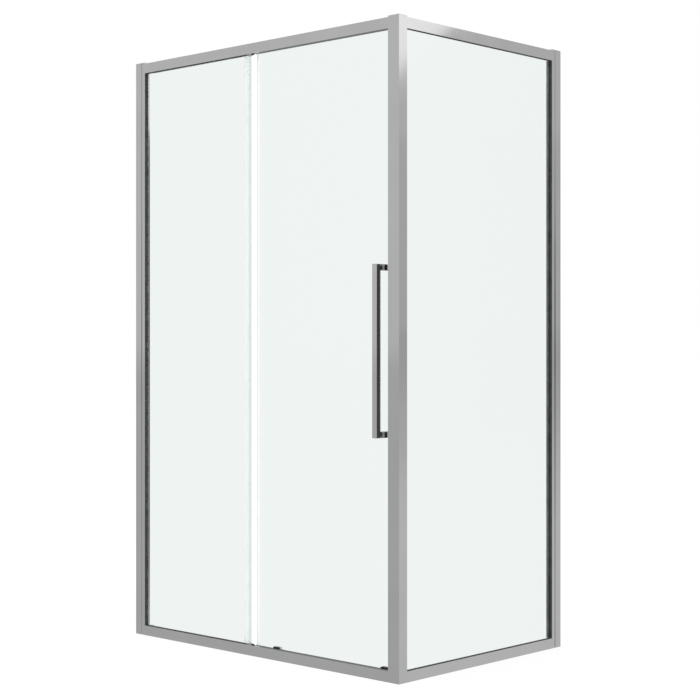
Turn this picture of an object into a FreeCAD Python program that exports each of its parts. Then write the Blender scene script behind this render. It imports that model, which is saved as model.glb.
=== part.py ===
import FreeCAD, Part
import os
from math import cos, pi, sin
from types import SimpleNamespace

import Sketcher
from FreeCAD import Rotation, Vector

# Corner shower enclosure: a framed glass front with a sliding door, and a framed glass side panel.
# The front runs along X and its outer face looks towards -Y. The side panel stands at the +X end.
# Sketches are drawn in millimetres from the corner where the left wall, the outer front face and
# the floor meet. Every piece is then moved so that the finished part's box stands centred on the origin.

SIZES = [
    ("enclosure_width", 1200, "left wall to the outer corner"),
    ("enclosure_depth", 800, "outer front face to the back wall"),
    ("enclosure_height", 1950, "floor to the top of the caps"),
    ("cap_thickness", 4, "end caps on the uprights"),
    ("cap_spigot", 6, "spigot below a cap"),
    ("alloy_wall", 1.6, "wall of every extrusion"),
    ("fit_clearance", 0.3, "gap between pieces that fit together"),
    ("hole_clearance", 0.1, "screw or sleeve to the side of its hole"),
    ("bore_clearance", 0.05, "bolt or stud to the side of its bore"),
    ("rail_face", 33, "visible height of header and sill"),
    ("front_rail_depth", 42, "front header and sill, outside to inside"),
    ("side_rail_depth", 24, "side header and sill, outside to inside"),
    ("pocket_setback", 8, "outer face to the glass pocket"),
    ("pocket_depth", 13, "depth of the glass pockets"),
    ("gasket_thickness", 2, "gasket on each side of a fixed pane"),
    ("pane_thickness", 6, "fixed and side glass"),
    ("sill_pocket_depth", 18.4, "depth of the glass pocket in a sill"),
    ("pane_end_gap", 2, "pane to the bottom of its pocket"),
    ("setting_block", 3, "rubber block under a fixed pane"),
    ("setting_block_length", 78, "rubber block under a fixed pane"),
    ("setting_block_inset", 66, "end of a rail to its setting block"),
    ("port_band", 8.4, "solid band that holds the screw port"),
    ("port_radius", 1.75, "screw port in a rail"),
    ("wall_profile_face", 28, "visible width of a wall profile"),
    ("wall_profile_depth", 26, "wall profile, outside to inside"),
    ("slide_clearance", 0.4, "jamb inside its wall profile"),
    ("jamb_inset", 8, "wall to the jamb's rear edge"),
    ("groove_width", 9, "recess between wall profile and raised band"),
    ("band_width", 10, "raised band of a jamb"),
    ("post_face", 43, "corner post, front face"),
    ("post_side", 36, "corner post, side face"),
    ("post_pocket_depth", 15.4, "glass pocket and door channel setback in the post"),
    ("channel_back_gap", 4, "door glass to the back of the post channel"),
    ("pane_gap", 8, "fixed pane to door glass"),
    ("door_thickness", 6, "door glass"),
    ("pane_reach", 588, "left wall to the fixed pane's free edge"),
    ("pane_overlap", 60, "door glass behind the fixed pane, closed"),
    ("door_floor_gap", 8, "floor to the door glass"),
    ("door_top_gap", 3, "door glass to the top of the header"),
    ("slot_gap", 2.6, "door glass to the header's inner flange"),
    ("wheel_setback", 3.9, "door glass to the roller wheel"),
    ("wheel_radius", 11, "roller wheel flanges"),
    ("running_radius", 9, "bottom of the wheel's groove"),
    ("wheel_width", 5, "roller wheel"),
    ("groove_half_width", 1.2, "half of the wheel's groove"),
    ("track_rise", 5, "header's visible edge to the underside of its track"),
    ("track_lip", 4.7, "track's underside to the top of the track lip"),
    ("left_fitting_inset", 136, "door's trailing edge to the left roller and guide"),
    ("right_fitting_inset", 46, "door's leading edge to the right roller and guide"),
    ("bolt_radius", 3, "roller bolt shank"),
    ("bolt_head_radius", 9, "roller bolt head"),
    ("bolt_head", 2.8, "thickness of the roller bolt head"),
    ("washer_thickness", 0.6, "roller washers"),
    ("washer_radius", 8, "roller washers"),
    ("sleeve_radius", 6, "plastic sleeve round the roller bolt"),
    ("nut_radius", 5.8, "roller nut over its corners"),
    ("nut_thickness", 2.8, "roller nut"),
    ("inner_ring_radius", 4.5, "bearing inner ring"),
    ("bearing_radius", 6.5, "bearing outer ring"),
    ("bearing_clearance", 0.05, "inner ring to outer ring"),
    ("circlip_radius", 5, "retaining clip outside"),
    ("circlip_thickness", 0.6, "retaining clip"),
    ("guide_lip_setback", 3.4, "door glass to the guide lip on the sill"),
    ("guide_lip_height", 12, "floor to the top of the guide lip"),
    ("sill_back_height", 18, "rear wall of the sill"),
    ("guide_half_width", 23, "half width of a guide at its wings"),
    ("guide_tower_half", 12.5, "half width of a guide's raised middle"),
    ("guide_bottom", 15, "floor to the underside of a guide"),
    ("guide_top", 36, "floor to the top of a guide"),
    ("housing_wing_top", 29, "floor to the top of the inner wings"),
    ("clamp_wing_top", 26, "floor to the top of the outer wings"),
    ("clamp_thickness", 2.2, "outer clamp plate"),
    ("housing_depth", 9, "guide housing behind the glass"),
    ("guide_screw_offset", 17.5, "guide centre to each screw"),
    ("guide_screw_height", 20.5, "floor to the guide screws"),
    ("guide_screw_radius", 2, "guide screw shank"),
    ("guide_screw_head", 2.2, "guide screw head"),
    ("guide_glass_clearance", 1, "guide screw to the side of its hole in the glass"),
    ("recess_radius", 3.7, "recess for a guide screw's head"),
    ("recess_depth", 2.5, "recess for a guide screw's head"),
    ("clamp_skin", 0.6, "clamp plate left in front of a screw"),
    ("plunger_half_width", 8, "half width of the release plunger"),
    ("plunger_bottom", 5, "floor to the plunger's fingers"),
    ("plunger_top", 23.5, "floor to the top of the plunger"),
    ("plunger_travel", 8, "lift that frees the door from the sill"),
    ("finger_thickness", 1.6, "each finger beside the guide lip"),
    ("finger_gap", 1, "guide lip to the root of the fingers"),
    ("tab_half_width", 4, "half width of the thumb tab"),
    ("tab_height", 4, "thumb tab"),
    ("tab_reach", 7.1, "thumb tab behind the plunger"),
    ("spring_radius", 1.9, "plunger spring, outside"),
    ("spring_wire", 0.5, "wall of the spring's tube"),
    ("spring_clearance", 0.2, "spring to the side of its bore"),
    ("spring_seat", 15, "floor to the bottom of the spring's bore"),
    ("handle_length", 510, "outer height of a handle"),
    ("handle_bar", 18, "square bar of a handle"),
    ("handle_reach", 56, "glass to the outer face of a handle"),
    ("handle_centre", 969, "floor to the middle of the handle"),
    ("handle_inset", 34, "door's leading edge to the middle of the bar"),
    ("handle_edge", 1, "rounded edges of the bar"),
    ("handle_washer", 1, "plastic washer under each leg"),
    ("handle_washer_radius", 8.5, "plastic washer under each leg"),
    ("stud_radius", 4, "threaded stud between the handles"),
    ("stud_grip", 12, "stud inside each leg"),
    ("stud_glass_clearance", 2, "stud to the side of its hole in the glass"),
    ("grub_radius", 2.4, "grub screw in each inner leg"),
    ("grub_recess", 0.5, "grub screw below the face of its leg"),
    ("seal_wall", 1, "wall of every clear seal"),
    ("edge_seal_leg", 22, "seal leg on the fixed pane"),
    ("edge_seal_nose", 1.5, "seal beyond the fixed pane's edge"),
    ("edge_seal_fin_gap", 0.4, "fin to the door glass"),
    ("trailing_seal_leg", 14, "seal leg on the door's trailing edge"),
    ("trailing_seal_nose", 3, "seal beyond the door's trailing edge"),
    ("trailing_fin", 5.7, "hooked fin in front of the trailing seal"),
    ("leading_seal_leg", 8, "seal leg on the door's leading edge"),
    ("leading_seal_nose", 6, "magnetic nose beyond the leading edge"),
    ("closing_gap", 0.4, "magnetic nose to the strip in the post"),
    ("magnet_thickness", 1.7, "magnetic strip in the post"),
    ("lip_step", 3, "side rails' inner lips short of their outer lips"),
    ("clip_width", 26, "corner clip of the fixed pane"),
    ("clip_setback", 36, "fixed pane's free edge to the far side of its corner clips"),
    ("clip_show", 4, "corner clip beyond header or sill"),
    ("clip_leg", 1.8, "leg of a corner clip"),
    ("plug_length", 10, "end plug inside a rail"),
    ("plug_flange", 2, "end plug outside a rail"),
    ("bumper_radius", 4.5, "rubber stop for the door"),
    ("bumper_length", 6, "rubber stop for the door"),
    ("bumper_offset", 13, "track's underside, or the sill's top, to a rubber stop"),
    ("screw_radius", 1.7, "frame screw shank"),
    ("screw_head_radius", 3.4, "frame screw head"),
    ("screw_head", 2.4, "frame screw head"),
    ("screw_grip", 25, "frame screw inside its port"),
    ("screw_clearance", 0.4, "frame screw to the side of its hole"),
    ("lock_screw_radius", 2, "screw that locks a jamb in its wall profile"),
    ("lock_head_radius", 4, "lock screw head"),
    ("lock_head", 2, "lock screw head"),
    ("lock_setback", 18, "wall to the lock screws"),
    ("lock_end", 100, "lock screws from the ends of the jamb"),
    ("cover_radius", 5.6, "cover cap over a lock screw"),
    ("cover_thickness", 1.2, "cover cap over a lock screw"),
    ("cover_gap", 0.2, "lock screw's head to its cover cap"),
    ("wall_hole_radius", 3, "wall fixing hole"),
    ("wall_hole_end", 173, "wall fixing holes from the ends"),
    ("infill_thickness", 2, "strip that closes an empty glass pocket"),
]

WALL_HOLES = 4
LOCK_SCREWS = 3


class Length:
    """A size in millimetres together with the sheet expression that gives it."""

    def __init__(self, value, text):
        self.value = value
        self.text = text

    def __add__(self, other):
        other = as_length(other)
        return Length(self.value + other.value, f"({self.text} + {other.text})")

    def __radd__(self, other):
        return as_length(other) + self

    def __sub__(self, other):
        other = as_length(other)
        return Length(self.value - other.value, f"({self.text} - {other.text})")

    def __rsub__(self, other):
        return as_length(other) - self

    def __mul__(self, factor):
        return Length(self.value * factor, f"({self.text} * {factor})")

    def __truediv__(self, divisor):
        return Length(self.value / divisor, f"({self.text} / {divisor})")

    def __neg__(self):
        return 0 - self


def as_length(size):
    return size if isinstance(size, Length) else Length(float(size), str(size))


doc = FreeCAD.newDocument("shower_enclosure")
sheet = doc.addObject("Spreadsheet::Sheet", "sizes")
for row, (alias, number, meaning) in enumerate(SIZES, start=1):
    sheet.set(f"A{row}", meaning)
    sheet.set(f"B{row}", str(number))
    sheet.setAlias(f"B{row}", alias)
doc.recompute()
size = SimpleNamespace()
for alias, number, _ in SIZES:
    setattr(size, alias, Length(float(number), f"sizes.{alias}"))

# Places that several pieces share, from the left wall, the outer front face and the floor.
wall = size.alloy_wall
body_top = size.enclosure_height - size.cap_thickness
header_bottom = body_top - size.rail_face
sill_top = size.rail_face
pane_outer = size.pocket_setback + size.gasket_thickness
pane_inner = pane_outer + size.pane_thickness
pocket_inner = pane_inner + size.gasket_thickness
pocket_middle = (size.pocket_setback + pocket_inner) / 2
rib_inner = pocket_inner + wall
door_outer = pane_inner + size.pane_gap
door_inner = door_outer + size.door_thickness
door_middle = (door_outer + door_inner) / 2
pane_entry = size.pocket_depth - size.pane_end_gap
pane_top = header_bottom + pane_entry
header_pocket_top = header_bottom + size.pocket_depth
header_port_top = header_pocket_top + size.port_band
header_port = header_pocket_top + size.port_band / 2
sill_pocket_floor = sill_top - size.sill_pocket_depth
sill_port_bottom = sill_pocket_floor - size.port_band
sill_port = sill_pocket_floor - size.port_band / 2
pane_bottom = sill_pocket_floor + size.setting_block
jamb_groove_end = size.wall_profile_face + size.groove_width
jamb_edge = jamb_groove_end + size.band_width
jamb_outer = wall + size.slide_clearance
jamb_inner = size.wall_profile_depth - wall - size.slide_clearance
jamb_pocket_floor = jamb_edge - size.pocket_depth
post_left = size.enclosure_width - size.post_face
post_leg = size.post_face - size.side_rail_depth - size.fit_clearance
post_channel = post_leg - wall
post_pocket_floor = size.post_side - size.post_pocket_depth
channel_inner = door_inner + size.channel_back_gap
magnet_face = post_left + post_channel - size.magnet_thickness
door_right = magnet_face - size.closing_gap - size.leading_seal_nose
door_left = size.pane_reach - size.pane_overlap
door_bottom = size.door_floor_gap
door_top = body_top - size.door_top_gap
wheel_outer = door_inner + size.wheel_setback
wheel_inner = wheel_outer + size.wheel_width
wheel_middle = (wheel_outer + wheel_inner) / 2
track_bottom = header_bottom + size.track_rise
track_top = track_bottom + size.track_lip
roller_axis = track_top + size.fit_clearance + size.running_radius
guide_lip_outer = door_inner + size.guide_lip_setback
guide_lip_inner = guide_lip_outer + wall
left_fitting = door_left + size.left_fitting_inset
right_fitting = door_right - size.right_fitting_inset
clip_start = size.pane_reach - size.clip_setback
handle_x = door_right - size.handle_inset
handle_face = door_outer - size.handle_reach
leg_height = size.handle_length / 2 - size.handle_bar / 2
handle_legs = (size.handle_centre - leg_height, size.handle_centre + leg_height)

# The handle stands proud of the outer front face, so it sets the near side of the finished part's box.
ORIGIN = (size.enclosure_width / 2, (size.enclosure_depth + handle_face) / 2, as_length(0))

SKETCH_PLANE = {"X": "YZ_Plane", "Y": "XZ_Plane", "Z": "XY_Plane"}
TURNED_PLANE = {
    "X": ("XY_Plane", "H_Axis"),
    "Y": ("XY_Plane", "V_Axis"),
    "Z": ("XZ_Plane", "V_Axis"),
}
ROD_ROTATION = {
    "X": Rotation(Vector(0, 1, 0), 90),
    "Y": Rotation(Vector(1, 0, 0), -90),
    "Z": Rotation(),
}
nodes = []


def keep(piece):
    """List a finished sub-part."""
    nodes.append(piece)


def place(piece, *offset):
    """Set a piece at an offset from the drawing's corner, by expressions."""
    for axis, shift, corner in zip("xyz", offset, ORIGIN):
        piece.setExpression(f"Placement.Base.{axis}", (shift - corner).text)


def draw(body, plane, loops, circles=()):
    """Sketch closed loops of straight lines, and circles; the sheet gives every corner and radius."""
    sketch = body.newObject("Sketcher::SketchObject", f"{body.Name}_sketch")
    support = [feature for feature in body.Origin.OriginFeatures if feature.Role == plane]
    sketch.AttachmentSupport = [(support[0], "")]
    sketch.MapMode = "FlatFace"
    constraints = []
    texts = {}

    def fix(kind, where, length):
        length = as_length(length)
        texts[len(constraints)] = length.text
        constraints.append(Sketcher.Constraint(kind, *where, length.value))

    for loop in loops:
        first = sketch.GeometryCount
        points = [Vector(as_length(u).value, as_length(v).value, 0) for u, v in loop]
        lines = [Part.LineSegment(a, b) for a, b in zip(points, points[1:] + points[:1])]
        sketch.addGeometry(lines, False)
        for index, (u, v) in enumerate(loop):
            line = first + index
            following = first + (index + 1) % len(loop)
            constraints.append(Sketcher.Constraint("Coincident", line, 2, following, 1))
            fix("DistanceX", (line, 1), u)
            fix("DistanceY", (line, 1), v)
    for u, v, radius in circles:
        u, v = as_length(u), as_length(v)
        centre = Vector(u.value, v.value, 0)
        ring = sketch.addGeometry(Part.Circle(centre, Vector(0, 0, 1), radius.value), False)
        fix("DistanceX", (ring, 3), u)
        fix("DistanceY", (ring, 3), v)
        fix("Radius", (ring,), radius)
    sketch.addConstraint(constraints)
    for index, text in texts.items():
        sketch.setExpression(f"Constraints[{index}]", text)
    return sketch


def extrusion(name, along, loops, start, end, circles=()):
    """A bar of constant section along an axis."""
    body = doc.addObject("PartDesign::Body", name)
    pad = body.newObject("PartDesign::Pad", f"{name}_pad")
    pad.Profile = draw(body, SKETCH_PLANE[along], loops, circles)
    pad.setExpression("Length", (end - start).text)
    body.Tip = pad
    offset = [as_length(0)] * 3
    offset["XYZ".index(along)] = as_length(end if along == "Y" else start)
    place(body, *offset)
    return body


def turned(name, along, profile, *centre):
    """A piece of revolution; its profile is a loop of (radius, position along the axis)."""
    plane, axis = TURNED_PLANE[along]
    if along == "X":
        profile = [(position, radius) for radius, position in profile]
    body = doc.addObject("PartDesign::Body", name)
    spin = body.newObject("PartDesign::Revolution", f"{name}_turn")
    sketch = draw(body, plane, [profile])
    spin.Profile = sketch
    spin.ReferenceAxis = (sketch, [axis])
    spin.Angle = 360
    body.Tip = spin
    place(body, *(as_length(shift) for shift in centre))
    return body


def block(name, x_range, y_range, z_range):
    """A rectangular block between two places on each axis."""
    box = doc.addObject("Part::Box", name)
    for side, (low, high) in zip(("Length", "Width", "Height"), (x_range, y_range, z_range)):
        box.setExpression(side, (as_length(high) - low).text)
    place(box, *(as_length(low) for low, _ in (x_range, y_range, z_range)))
    return box


def rod(name, along, radius, start, end, *across):
    """A plain cylinder along an axis, used for holes; across gives its place on the other two axes."""
    cylinder = doc.addObject("Part::Cylinder", name)
    cylinder.Placement.Rotation = ROD_ROTATION[along]
    cylinder.setExpression("Radius", as_length(radius).text)
    cylinder.setExpression("Height", (as_length(end) - start).text)
    centre = list(across)
    centre.insert("XYZ".index(along), start)
    place(cylinder, *(as_length(shift) for shift in centre))
    return cylinder


def fuse(name, *pieces):
    """One solid from several that touch."""
    joined = doc.addObject("Part::MultiFuse", name)
    joined.Shapes = list(pieces)
    return joined


def cut(name, base, *tools):
    """Base less its tools."""
    result = doc.addObject("Part::Cut", name)
    result.Base = base
    result.Tool = tools[0] if len(tools) == 1 else fuse(f"{name}_cutters", *tools)
    return result


def group(name, pieces):
    """Several separate pieces that share one sub-part."""
    compound = doc.addObject("Part::Compound", name)
    compound.Links = list(pieces)
    return compound


def rectangle(u_range, v_range):
    """Corners of a rectangle between two places each way."""
    (u0, u1), (v0, v1) = u_range, v_range
    return [(u0, v0), (u1, v0), (u1, v1), (u0, v1)]


def side_by_front(points):
    """Turn (from the wall, from the outer face) of the front's upright into X and Y at the side panel."""
    return [(size.enclosure_width - face, size.enclosure_depth - back) for back, face in points]


def from_outer(points):
    """Turn (from the outer face, height) into X and Z at the side panel."""
    return [(size.enclosure_width - face, height) for face, height in points]


# Uprights at the walls: a wall profile, and a jamb that slides in it and takes up an uneven wall.
def wall_profile_section():
    """A channel with its back to the wall."""
    face, deep = size.wall_profile_face, size.wall_profile_depth
    return [
        (0, 0), (face, 0), (face, wall), (wall, wall),
        (wall, deep - wall), (face, deep - wall), (face, deep), (0, deep)]


def jamb_section():
    """Outline with a raised band on the outer face and the glass pocket on the right."""
    rear, floor, outer = size.jamb_inset, jamb_pocket_floor, size.pocket_setback
    return [
        (rear, jamb_outer), (jamb_groove_end, jamb_outer), (jamb_groove_end, 0), (jamb_edge, 0),
        (jamb_edge, outer), (floor, outer), (floor, pocket_inner), (jamb_edge, pocket_inner),
        (jamb_edge, jamb_inner), (rear, jamb_inner)]


def jamb_chambers():
    """The main chamber, and one in each lip of the glass pocket."""
    return [
        rectangle((size.jamb_inset + wall, jamb_pocket_floor - wall),
                  (jamb_outer + wall, jamb_inner - wall)),
        rectangle((jamb_groove_end + wall, jamb_edge - wall), (wall, size.pocket_setback - wall)),
        rectangle((jamb_pocket_floor + wall, jamb_edge - wall), (rib_inner, jamb_inner - wall))]


wall_hole_step = (body_top - size.wall_hole_end * 2) / (WALL_HOLES - 1)
wall_hole_heights = [size.wall_hole_end + wall_hole_step * index for index in range(WALL_HOLES)]
lock_step = (body_top - size.lock_end * 2) / (LOCK_SCREWS - 1)
lock_heights = [size.lock_end + lock_step * index for index in range(LOCK_SCREWS)]
port_heights = (sill_port, header_port)
profile_middle = size.wall_profile_depth / 2
lock_hole = size.lock_screw_radius + size.hole_clearance
screw_hole = size.screw_radius + size.screw_clearance


def upright_at_wall(side):
    """Wall profile, jamb, lock screws and cover caps of the front (X) or the side panel (Y)."""
    front = side == "front"
    turn = (lambda points: points) if front else side_by_front
    into_wall, across_wall = ("X", "Y") if front else ("Y", "X")
    profile_loops = [turn(wall_profile_section())]
    profile_blank = extrusion(f"{side}_wall_profile_blank", "Z", profile_loops, 0, body_top)
    jamb_loops = [turn(loop) for loop in [jamb_section()] + jamb_chambers()]
    jamb_blank = extrusion(f"{side}_jamb_blank", "Z", jamb_loops, 0, body_top)

    def hole(name, into, radius, start, end, across, height):
        """A hole from start to end, measured from the wall or from the outer face."""
        if front:
            return rod(name, into, radius, start, end, across, height)
        full = size.enclosure_depth if into == into_wall else size.enclosure_width
        other = size.enclosure_width if into == into_wall else size.enclosure_depth
        return rod(name, into, radius, full - end, full - start, other - across, height)

    wall_holes = [
        hole(f"{side}_wall_hole_{index}", into_wall, size.wall_hole_radius, as_length(0), wall,
             profile_middle, height)
        for index, height in enumerate(wall_hole_heights, start=1)
    ]
    lock_holes = [
        hole(f"{side}_lock_hole_{index}", across_wall, lock_hole, jamb_inner - wall,
             size.wall_profile_depth, size.lock_setback, height)
        for index, height in enumerate(lock_heights, start=1)
    ]
    rail_holes = [
        hole(f"{side}_jamb_rail_hole_{index}", into_wall, screw_hole, jamb_pocket_floor - wall,
             jamb_pocket_floor, pocket_middle, height)
        for index, height in enumerate(port_heights, start=1)
    ]
    keep(cut(f"{side}_wall_profile", profile_blank, *wall_holes, *lock_holes))
    keep(cut(f"{side}_jamb", jamb_blank, *rail_holes, *lock_holes))


upright_at_wall("front")
upright_at_wall("side")


def lock_fittings(name, profile):
    """One turned piece at each lock screw, front then side; profile is (radius, from the outer face)."""
    pieces = []
    for index, height in enumerate(lock_heights, start=1):
        pieces.append(turned(f"front_{name}_{index}", "Y", profile, size.lock_setback, 0, height))
        mirrored = [(radius, size.enclosure_width - position) for radius, position in profile]
        pieces.append(turned(f"side_{name}_{index}", "X", mirrored, 0,
                             size.enclosure_depth - size.lock_setback, height))
    return pieces


lock_head_top = size.wall_profile_depth + size.lock_head
cover_floor = lock_head_top + size.cover_gap
cover_top = cover_floor + size.cover_thickness
cover_bore = size.lock_head_radius + size.fit_clearance
lock_tip = jamb_inner - wall * 2
lock_seat = size.wall_profile_depth
lock_screw_profile = [
    (0, lock_tip), (size.lock_screw_radius, lock_tip), (size.lock_screw_radius, lock_seat),
    (size.lock_head_radius, lock_seat), (size.lock_head_radius, lock_head_top), (0, lock_head_top)]
screw_cover_profile = [
    (cover_bore, lock_seat), (size.cover_radius, lock_seat), (size.cover_radius, cover_top),
    (0, cover_top), (0, cover_floor), (cover_bore, cover_floor)]
keep(group("jamb_lock_screws", lock_fittings("lock_screw", lock_screw_profile)))
keep(group("jamb_screw_covers", lock_fittings("screw_cover", screw_cover_profile)))


# Rails. Header and sill of the front have a glass pocket outside and the door's chamber inside.
flange_inner = size.front_rail_depth - wall
track_faces = (wheel_middle - wall / 2, wheel_middle + wall / 2)
slot_inner = door_inner + size.slot_gap
front_header_section = [
    (0, header_bottom), (size.pocket_setback, header_bottom), (size.pocket_setback, header_pocket_top),
    (pocket_inner, header_pocket_top), (pocket_inner, header_bottom), (rib_inner, header_bottom),
    (rib_inner, body_top - wall), (flange_inner, body_top - wall), (flange_inner, track_bottom + wall),
    (track_faces[1], track_bottom + wall), (track_faces[1], track_top), (track_faces[0], track_top),
    (track_faces[0], track_bottom + wall), (slot_inner, track_bottom + wall), (slot_inner, track_bottom),
    (size.front_rail_depth, track_bottom), (size.front_rail_depth, body_top), (0, body_top)]
header_lip_heights = (header_bottom + wall, header_pocket_top)
sill_lip_heights = (sill_pocket_floor, sill_top - wall)
outer_lip = (wall, size.pocket_setback - wall)
front_header_chambers = [
    rectangle(outer_lip, header_lip_heights),
    rectangle((wall, pocket_inner), (header_port_top, body_top - wall))]
front_sill_section = [
    (0, 0), (size.front_rail_depth, 0), (size.front_rail_depth, size.sill_back_height),
    (flange_inner, size.sill_back_height), (flange_inner, wall), (guide_lip_inner, wall),
    (guide_lip_inner, size.guide_lip_height), (guide_lip_outer, size.guide_lip_height),
    (guide_lip_outer, wall), (rib_inner, wall), (rib_inner, sill_top), (pocket_inner, sill_top),
    (pocket_inner, sill_pocket_floor), (size.pocket_setback, sill_pocket_floor),
    (size.pocket_setback, sill_top), (0, sill_top)]
front_sill_chambers = [
    rectangle(outer_lip, sill_lip_heights),
    rectangle((wall, pocket_inner), (wall, sill_port_bottom))]
keep(extrusion("front_header", "X", [front_header_section, *front_header_chambers], jamb_edge, post_left,
               [(pocket_middle, header_port, size.port_radius)]))
keep(extrusion("front_sill", "X", [front_sill_section, *front_sill_chambers], jamb_edge, post_left,
               [(pocket_middle, sill_port, size.port_radius)]))

side_end = size.enclosure_depth - jamb_edge
side_depth = size.side_rail_depth
inner_lip = (rib_inner, side_depth - wall)
inner_lip_bottom = header_bottom + size.lip_step
inner_lip_top = sill_top - size.lip_step
side_header_loops = [
    [(0, header_bottom), (size.pocket_setback, header_bottom), (size.pocket_setback, header_pocket_top),
     (pocket_inner, header_pocket_top), (pocket_inner, inner_lip_bottom), (side_depth, inner_lip_bottom),
     (side_depth, body_top), (0, body_top)],
    rectangle(outer_lip, header_lip_heights),
    rectangle(inner_lip, (inner_lip_bottom + wall, header_pocket_top)),
    rectangle((wall, side_depth - wall), (header_port_top, body_top - wall))]
side_sill_loops = [
    [(0, 0), (side_depth, 0), (side_depth, inner_lip_top), (pocket_inner, inner_lip_top),
     (pocket_inner, sill_pocket_floor), (size.pocket_setback, sill_pocket_floor),
     (size.pocket_setback, sill_top), (0, sill_top)],
    rectangle(outer_lip, sill_lip_heights),
    rectangle(inner_lip, (sill_pocket_floor, inner_lip_top - wall)),
    rectangle((wall, side_depth - wall), (wall, sill_port_bottom))]
side_port_x = size.enclosure_width - pocket_middle
for rail, loops, port in (("header", side_header_loops, header_port), ("sill", side_sill_loops, sill_port)):
    keep(extrusion(f"side_{rail}", "Y", [from_outer(loop) for loop in loops], size.post_side, side_end,
                   [(side_port_x, port, size.port_radius)]))


# Corner post: the door closes into its left channel, and the side glass stands in its rear pocket.
def from_post(points):
    """Turn places measured from the post's left face into X."""
    return [(post_left + across, back) for across, back in points]


post_right = size.post_face
post_back = size.post_side
post_floor = post_pocket_floor
pocket_right = post_right - size.pocket_setback
pocket_left = post_right - pocket_inner
post_section = [
    (0, 0), (post_right, 0), (post_right, post_back), (pocket_right, post_back), (pocket_right, post_floor),
    (pocket_left, post_floor), (pocket_left, post_back), (post_leg, post_back),
    (post_leg, size.front_rail_depth), (0, size.front_rail_depth), (0, channel_inner),
    (post_channel, channel_inner), (post_channel, post_floor), (0, post_floor)]
post_chambers = [
    rectangle((wall, post_right - wall), (wall, post_floor - wall)),
    rectangle((post_leg, pocket_left - wall), (post_floor, post_back - wall)),
    rectangle((pocket_right + wall, post_right - wall), (post_floor, post_back - wall)),
    rectangle((wall, post_channel), (channel_inner + wall, flange_inner))]
post_loops = [from_post(loop) for loop in (post_section, *post_chambers)]
post_blank = extrusion("corner_post_blank", "Z", post_loops, 0, body_top)
post_holes = []
for level, height in zip(("sill", "header"), port_heights):
    post_holes.append(rod(f"post_front_{level}_hole", "X", screw_hole, post_left, post_left + wall,
                          pocket_middle, height))
    post_holes.append(rod(f"post_side_{level}_hole", "Y", screw_hole, post_floor - wall, post_floor,
                          side_port_x, height))
keep(cut("corner_post", post_blank, *post_holes))


# Frame screws: each rail end is drawn up by one screw that sits inside the hollow upright.
def screw_profile(seat, outward, grip_end):
    """Pan head on its seat, with the shank running the other way to grip_end."""
    head = seat + size.screw_head * outward
    return [
        (0, head), (size.screw_head_radius, head), (size.screw_head_radius, seat),
        (size.screw_radius, seat), (size.screw_radius, grip_end), (0, grip_end)]


jamb_seat = jamb_pocket_floor - wall
front_profiles = {
    "jamb": screw_profile(jamb_seat, -1, jamb_edge + size.screw_grip),
    "post": screw_profile(post_left + wall, 1, post_left - size.screw_grip)}
side_profiles = {
    "post": screw_profile(post_floor - wall, -1, post_back + size.screw_grip),
    "jamb": screw_profile(size.enclosure_depth - jamb_seat, 1, side_end - size.screw_grip)}
front_screws = []
side_screws = []
for level, height in zip(("sill", "header"), port_heights):
    for upright, profile in front_profiles.items():
        front_screws.append(turned(f"front_{level}_{upright}_screw", "X", profile, 0, pocket_middle, height))
    for upright, profile in side_profiles.items():
        side_screws.append(turned(f"side_{level}_{upright}_screw", "Y", profile, side_port_x, 0, height))
keep(group("front_frame_screws", front_screws))
keep(group("side_frame_screws", side_screws))

# Caps on the uprights, each with a spigot inside the hollow below it.
spigot_range = (body_top - size.cap_spigot, body_top)
spigot_gap = wall + size.fit_clearance
cap_range = (body_top, size.enclosure_height)
cap_outline = rectangle((0, jamb_edge), (0, size.wall_profile_depth))
spigot_outline = rectangle((spigot_gap, size.jamb_inset - size.fit_clearance),
                           (spigot_gap, size.wall_profile_depth - spigot_gap))
post_cap_outline = [
    (0, 0), (post_right, 0), (post_right, post_back), (post_leg, post_back),
    (post_leg, size.front_rail_depth), (0, size.front_rail_depth)]
post_spigot_outline = rectangle(
    (spigot_gap, post_right - spigot_gap), (spigot_gap, post_floor - spigot_gap))
for name, plate, peg in (
    ("front_wall_cap", cap_outline, spigot_outline),
    ("side_wall_cap", side_by_front(cap_outline), side_by_front(spigot_outline)),
    ("corner_post_cap", from_post(post_cap_outline), from_post(post_spigot_outline)),
):
    keep(fuse(name, extrusion(f"{name}_plate", "Z", [plate], *cap_range),
              extrusion(f"{name}_spigot", "Z", [peg], *spigot_range)))

# Fixed pane and side pane, with gaskets on both faces, setting blocks below and clips at the free corners.
pane_left = jamb_edge - pane_entry
pane_back = size.enclosure_depth - pane_left
side_pane_start = post_floor + size.pane_end_gap
pane_thick = (pane_outer, pane_inner)
pane_heights = (pane_bottom, pane_top)
side_thick = (size.enclosure_width - pane_inner, size.enclosure_width - pane_outer)
keep(extrusion("fixed_glass", "X", [rectangle(pane_thick, pane_heights)], pane_left, size.pane_reach))
keep(extrusion("side_glass", "Y", [rectangle(side_thick, pane_heights)], side_pane_start, pane_back))

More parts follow.
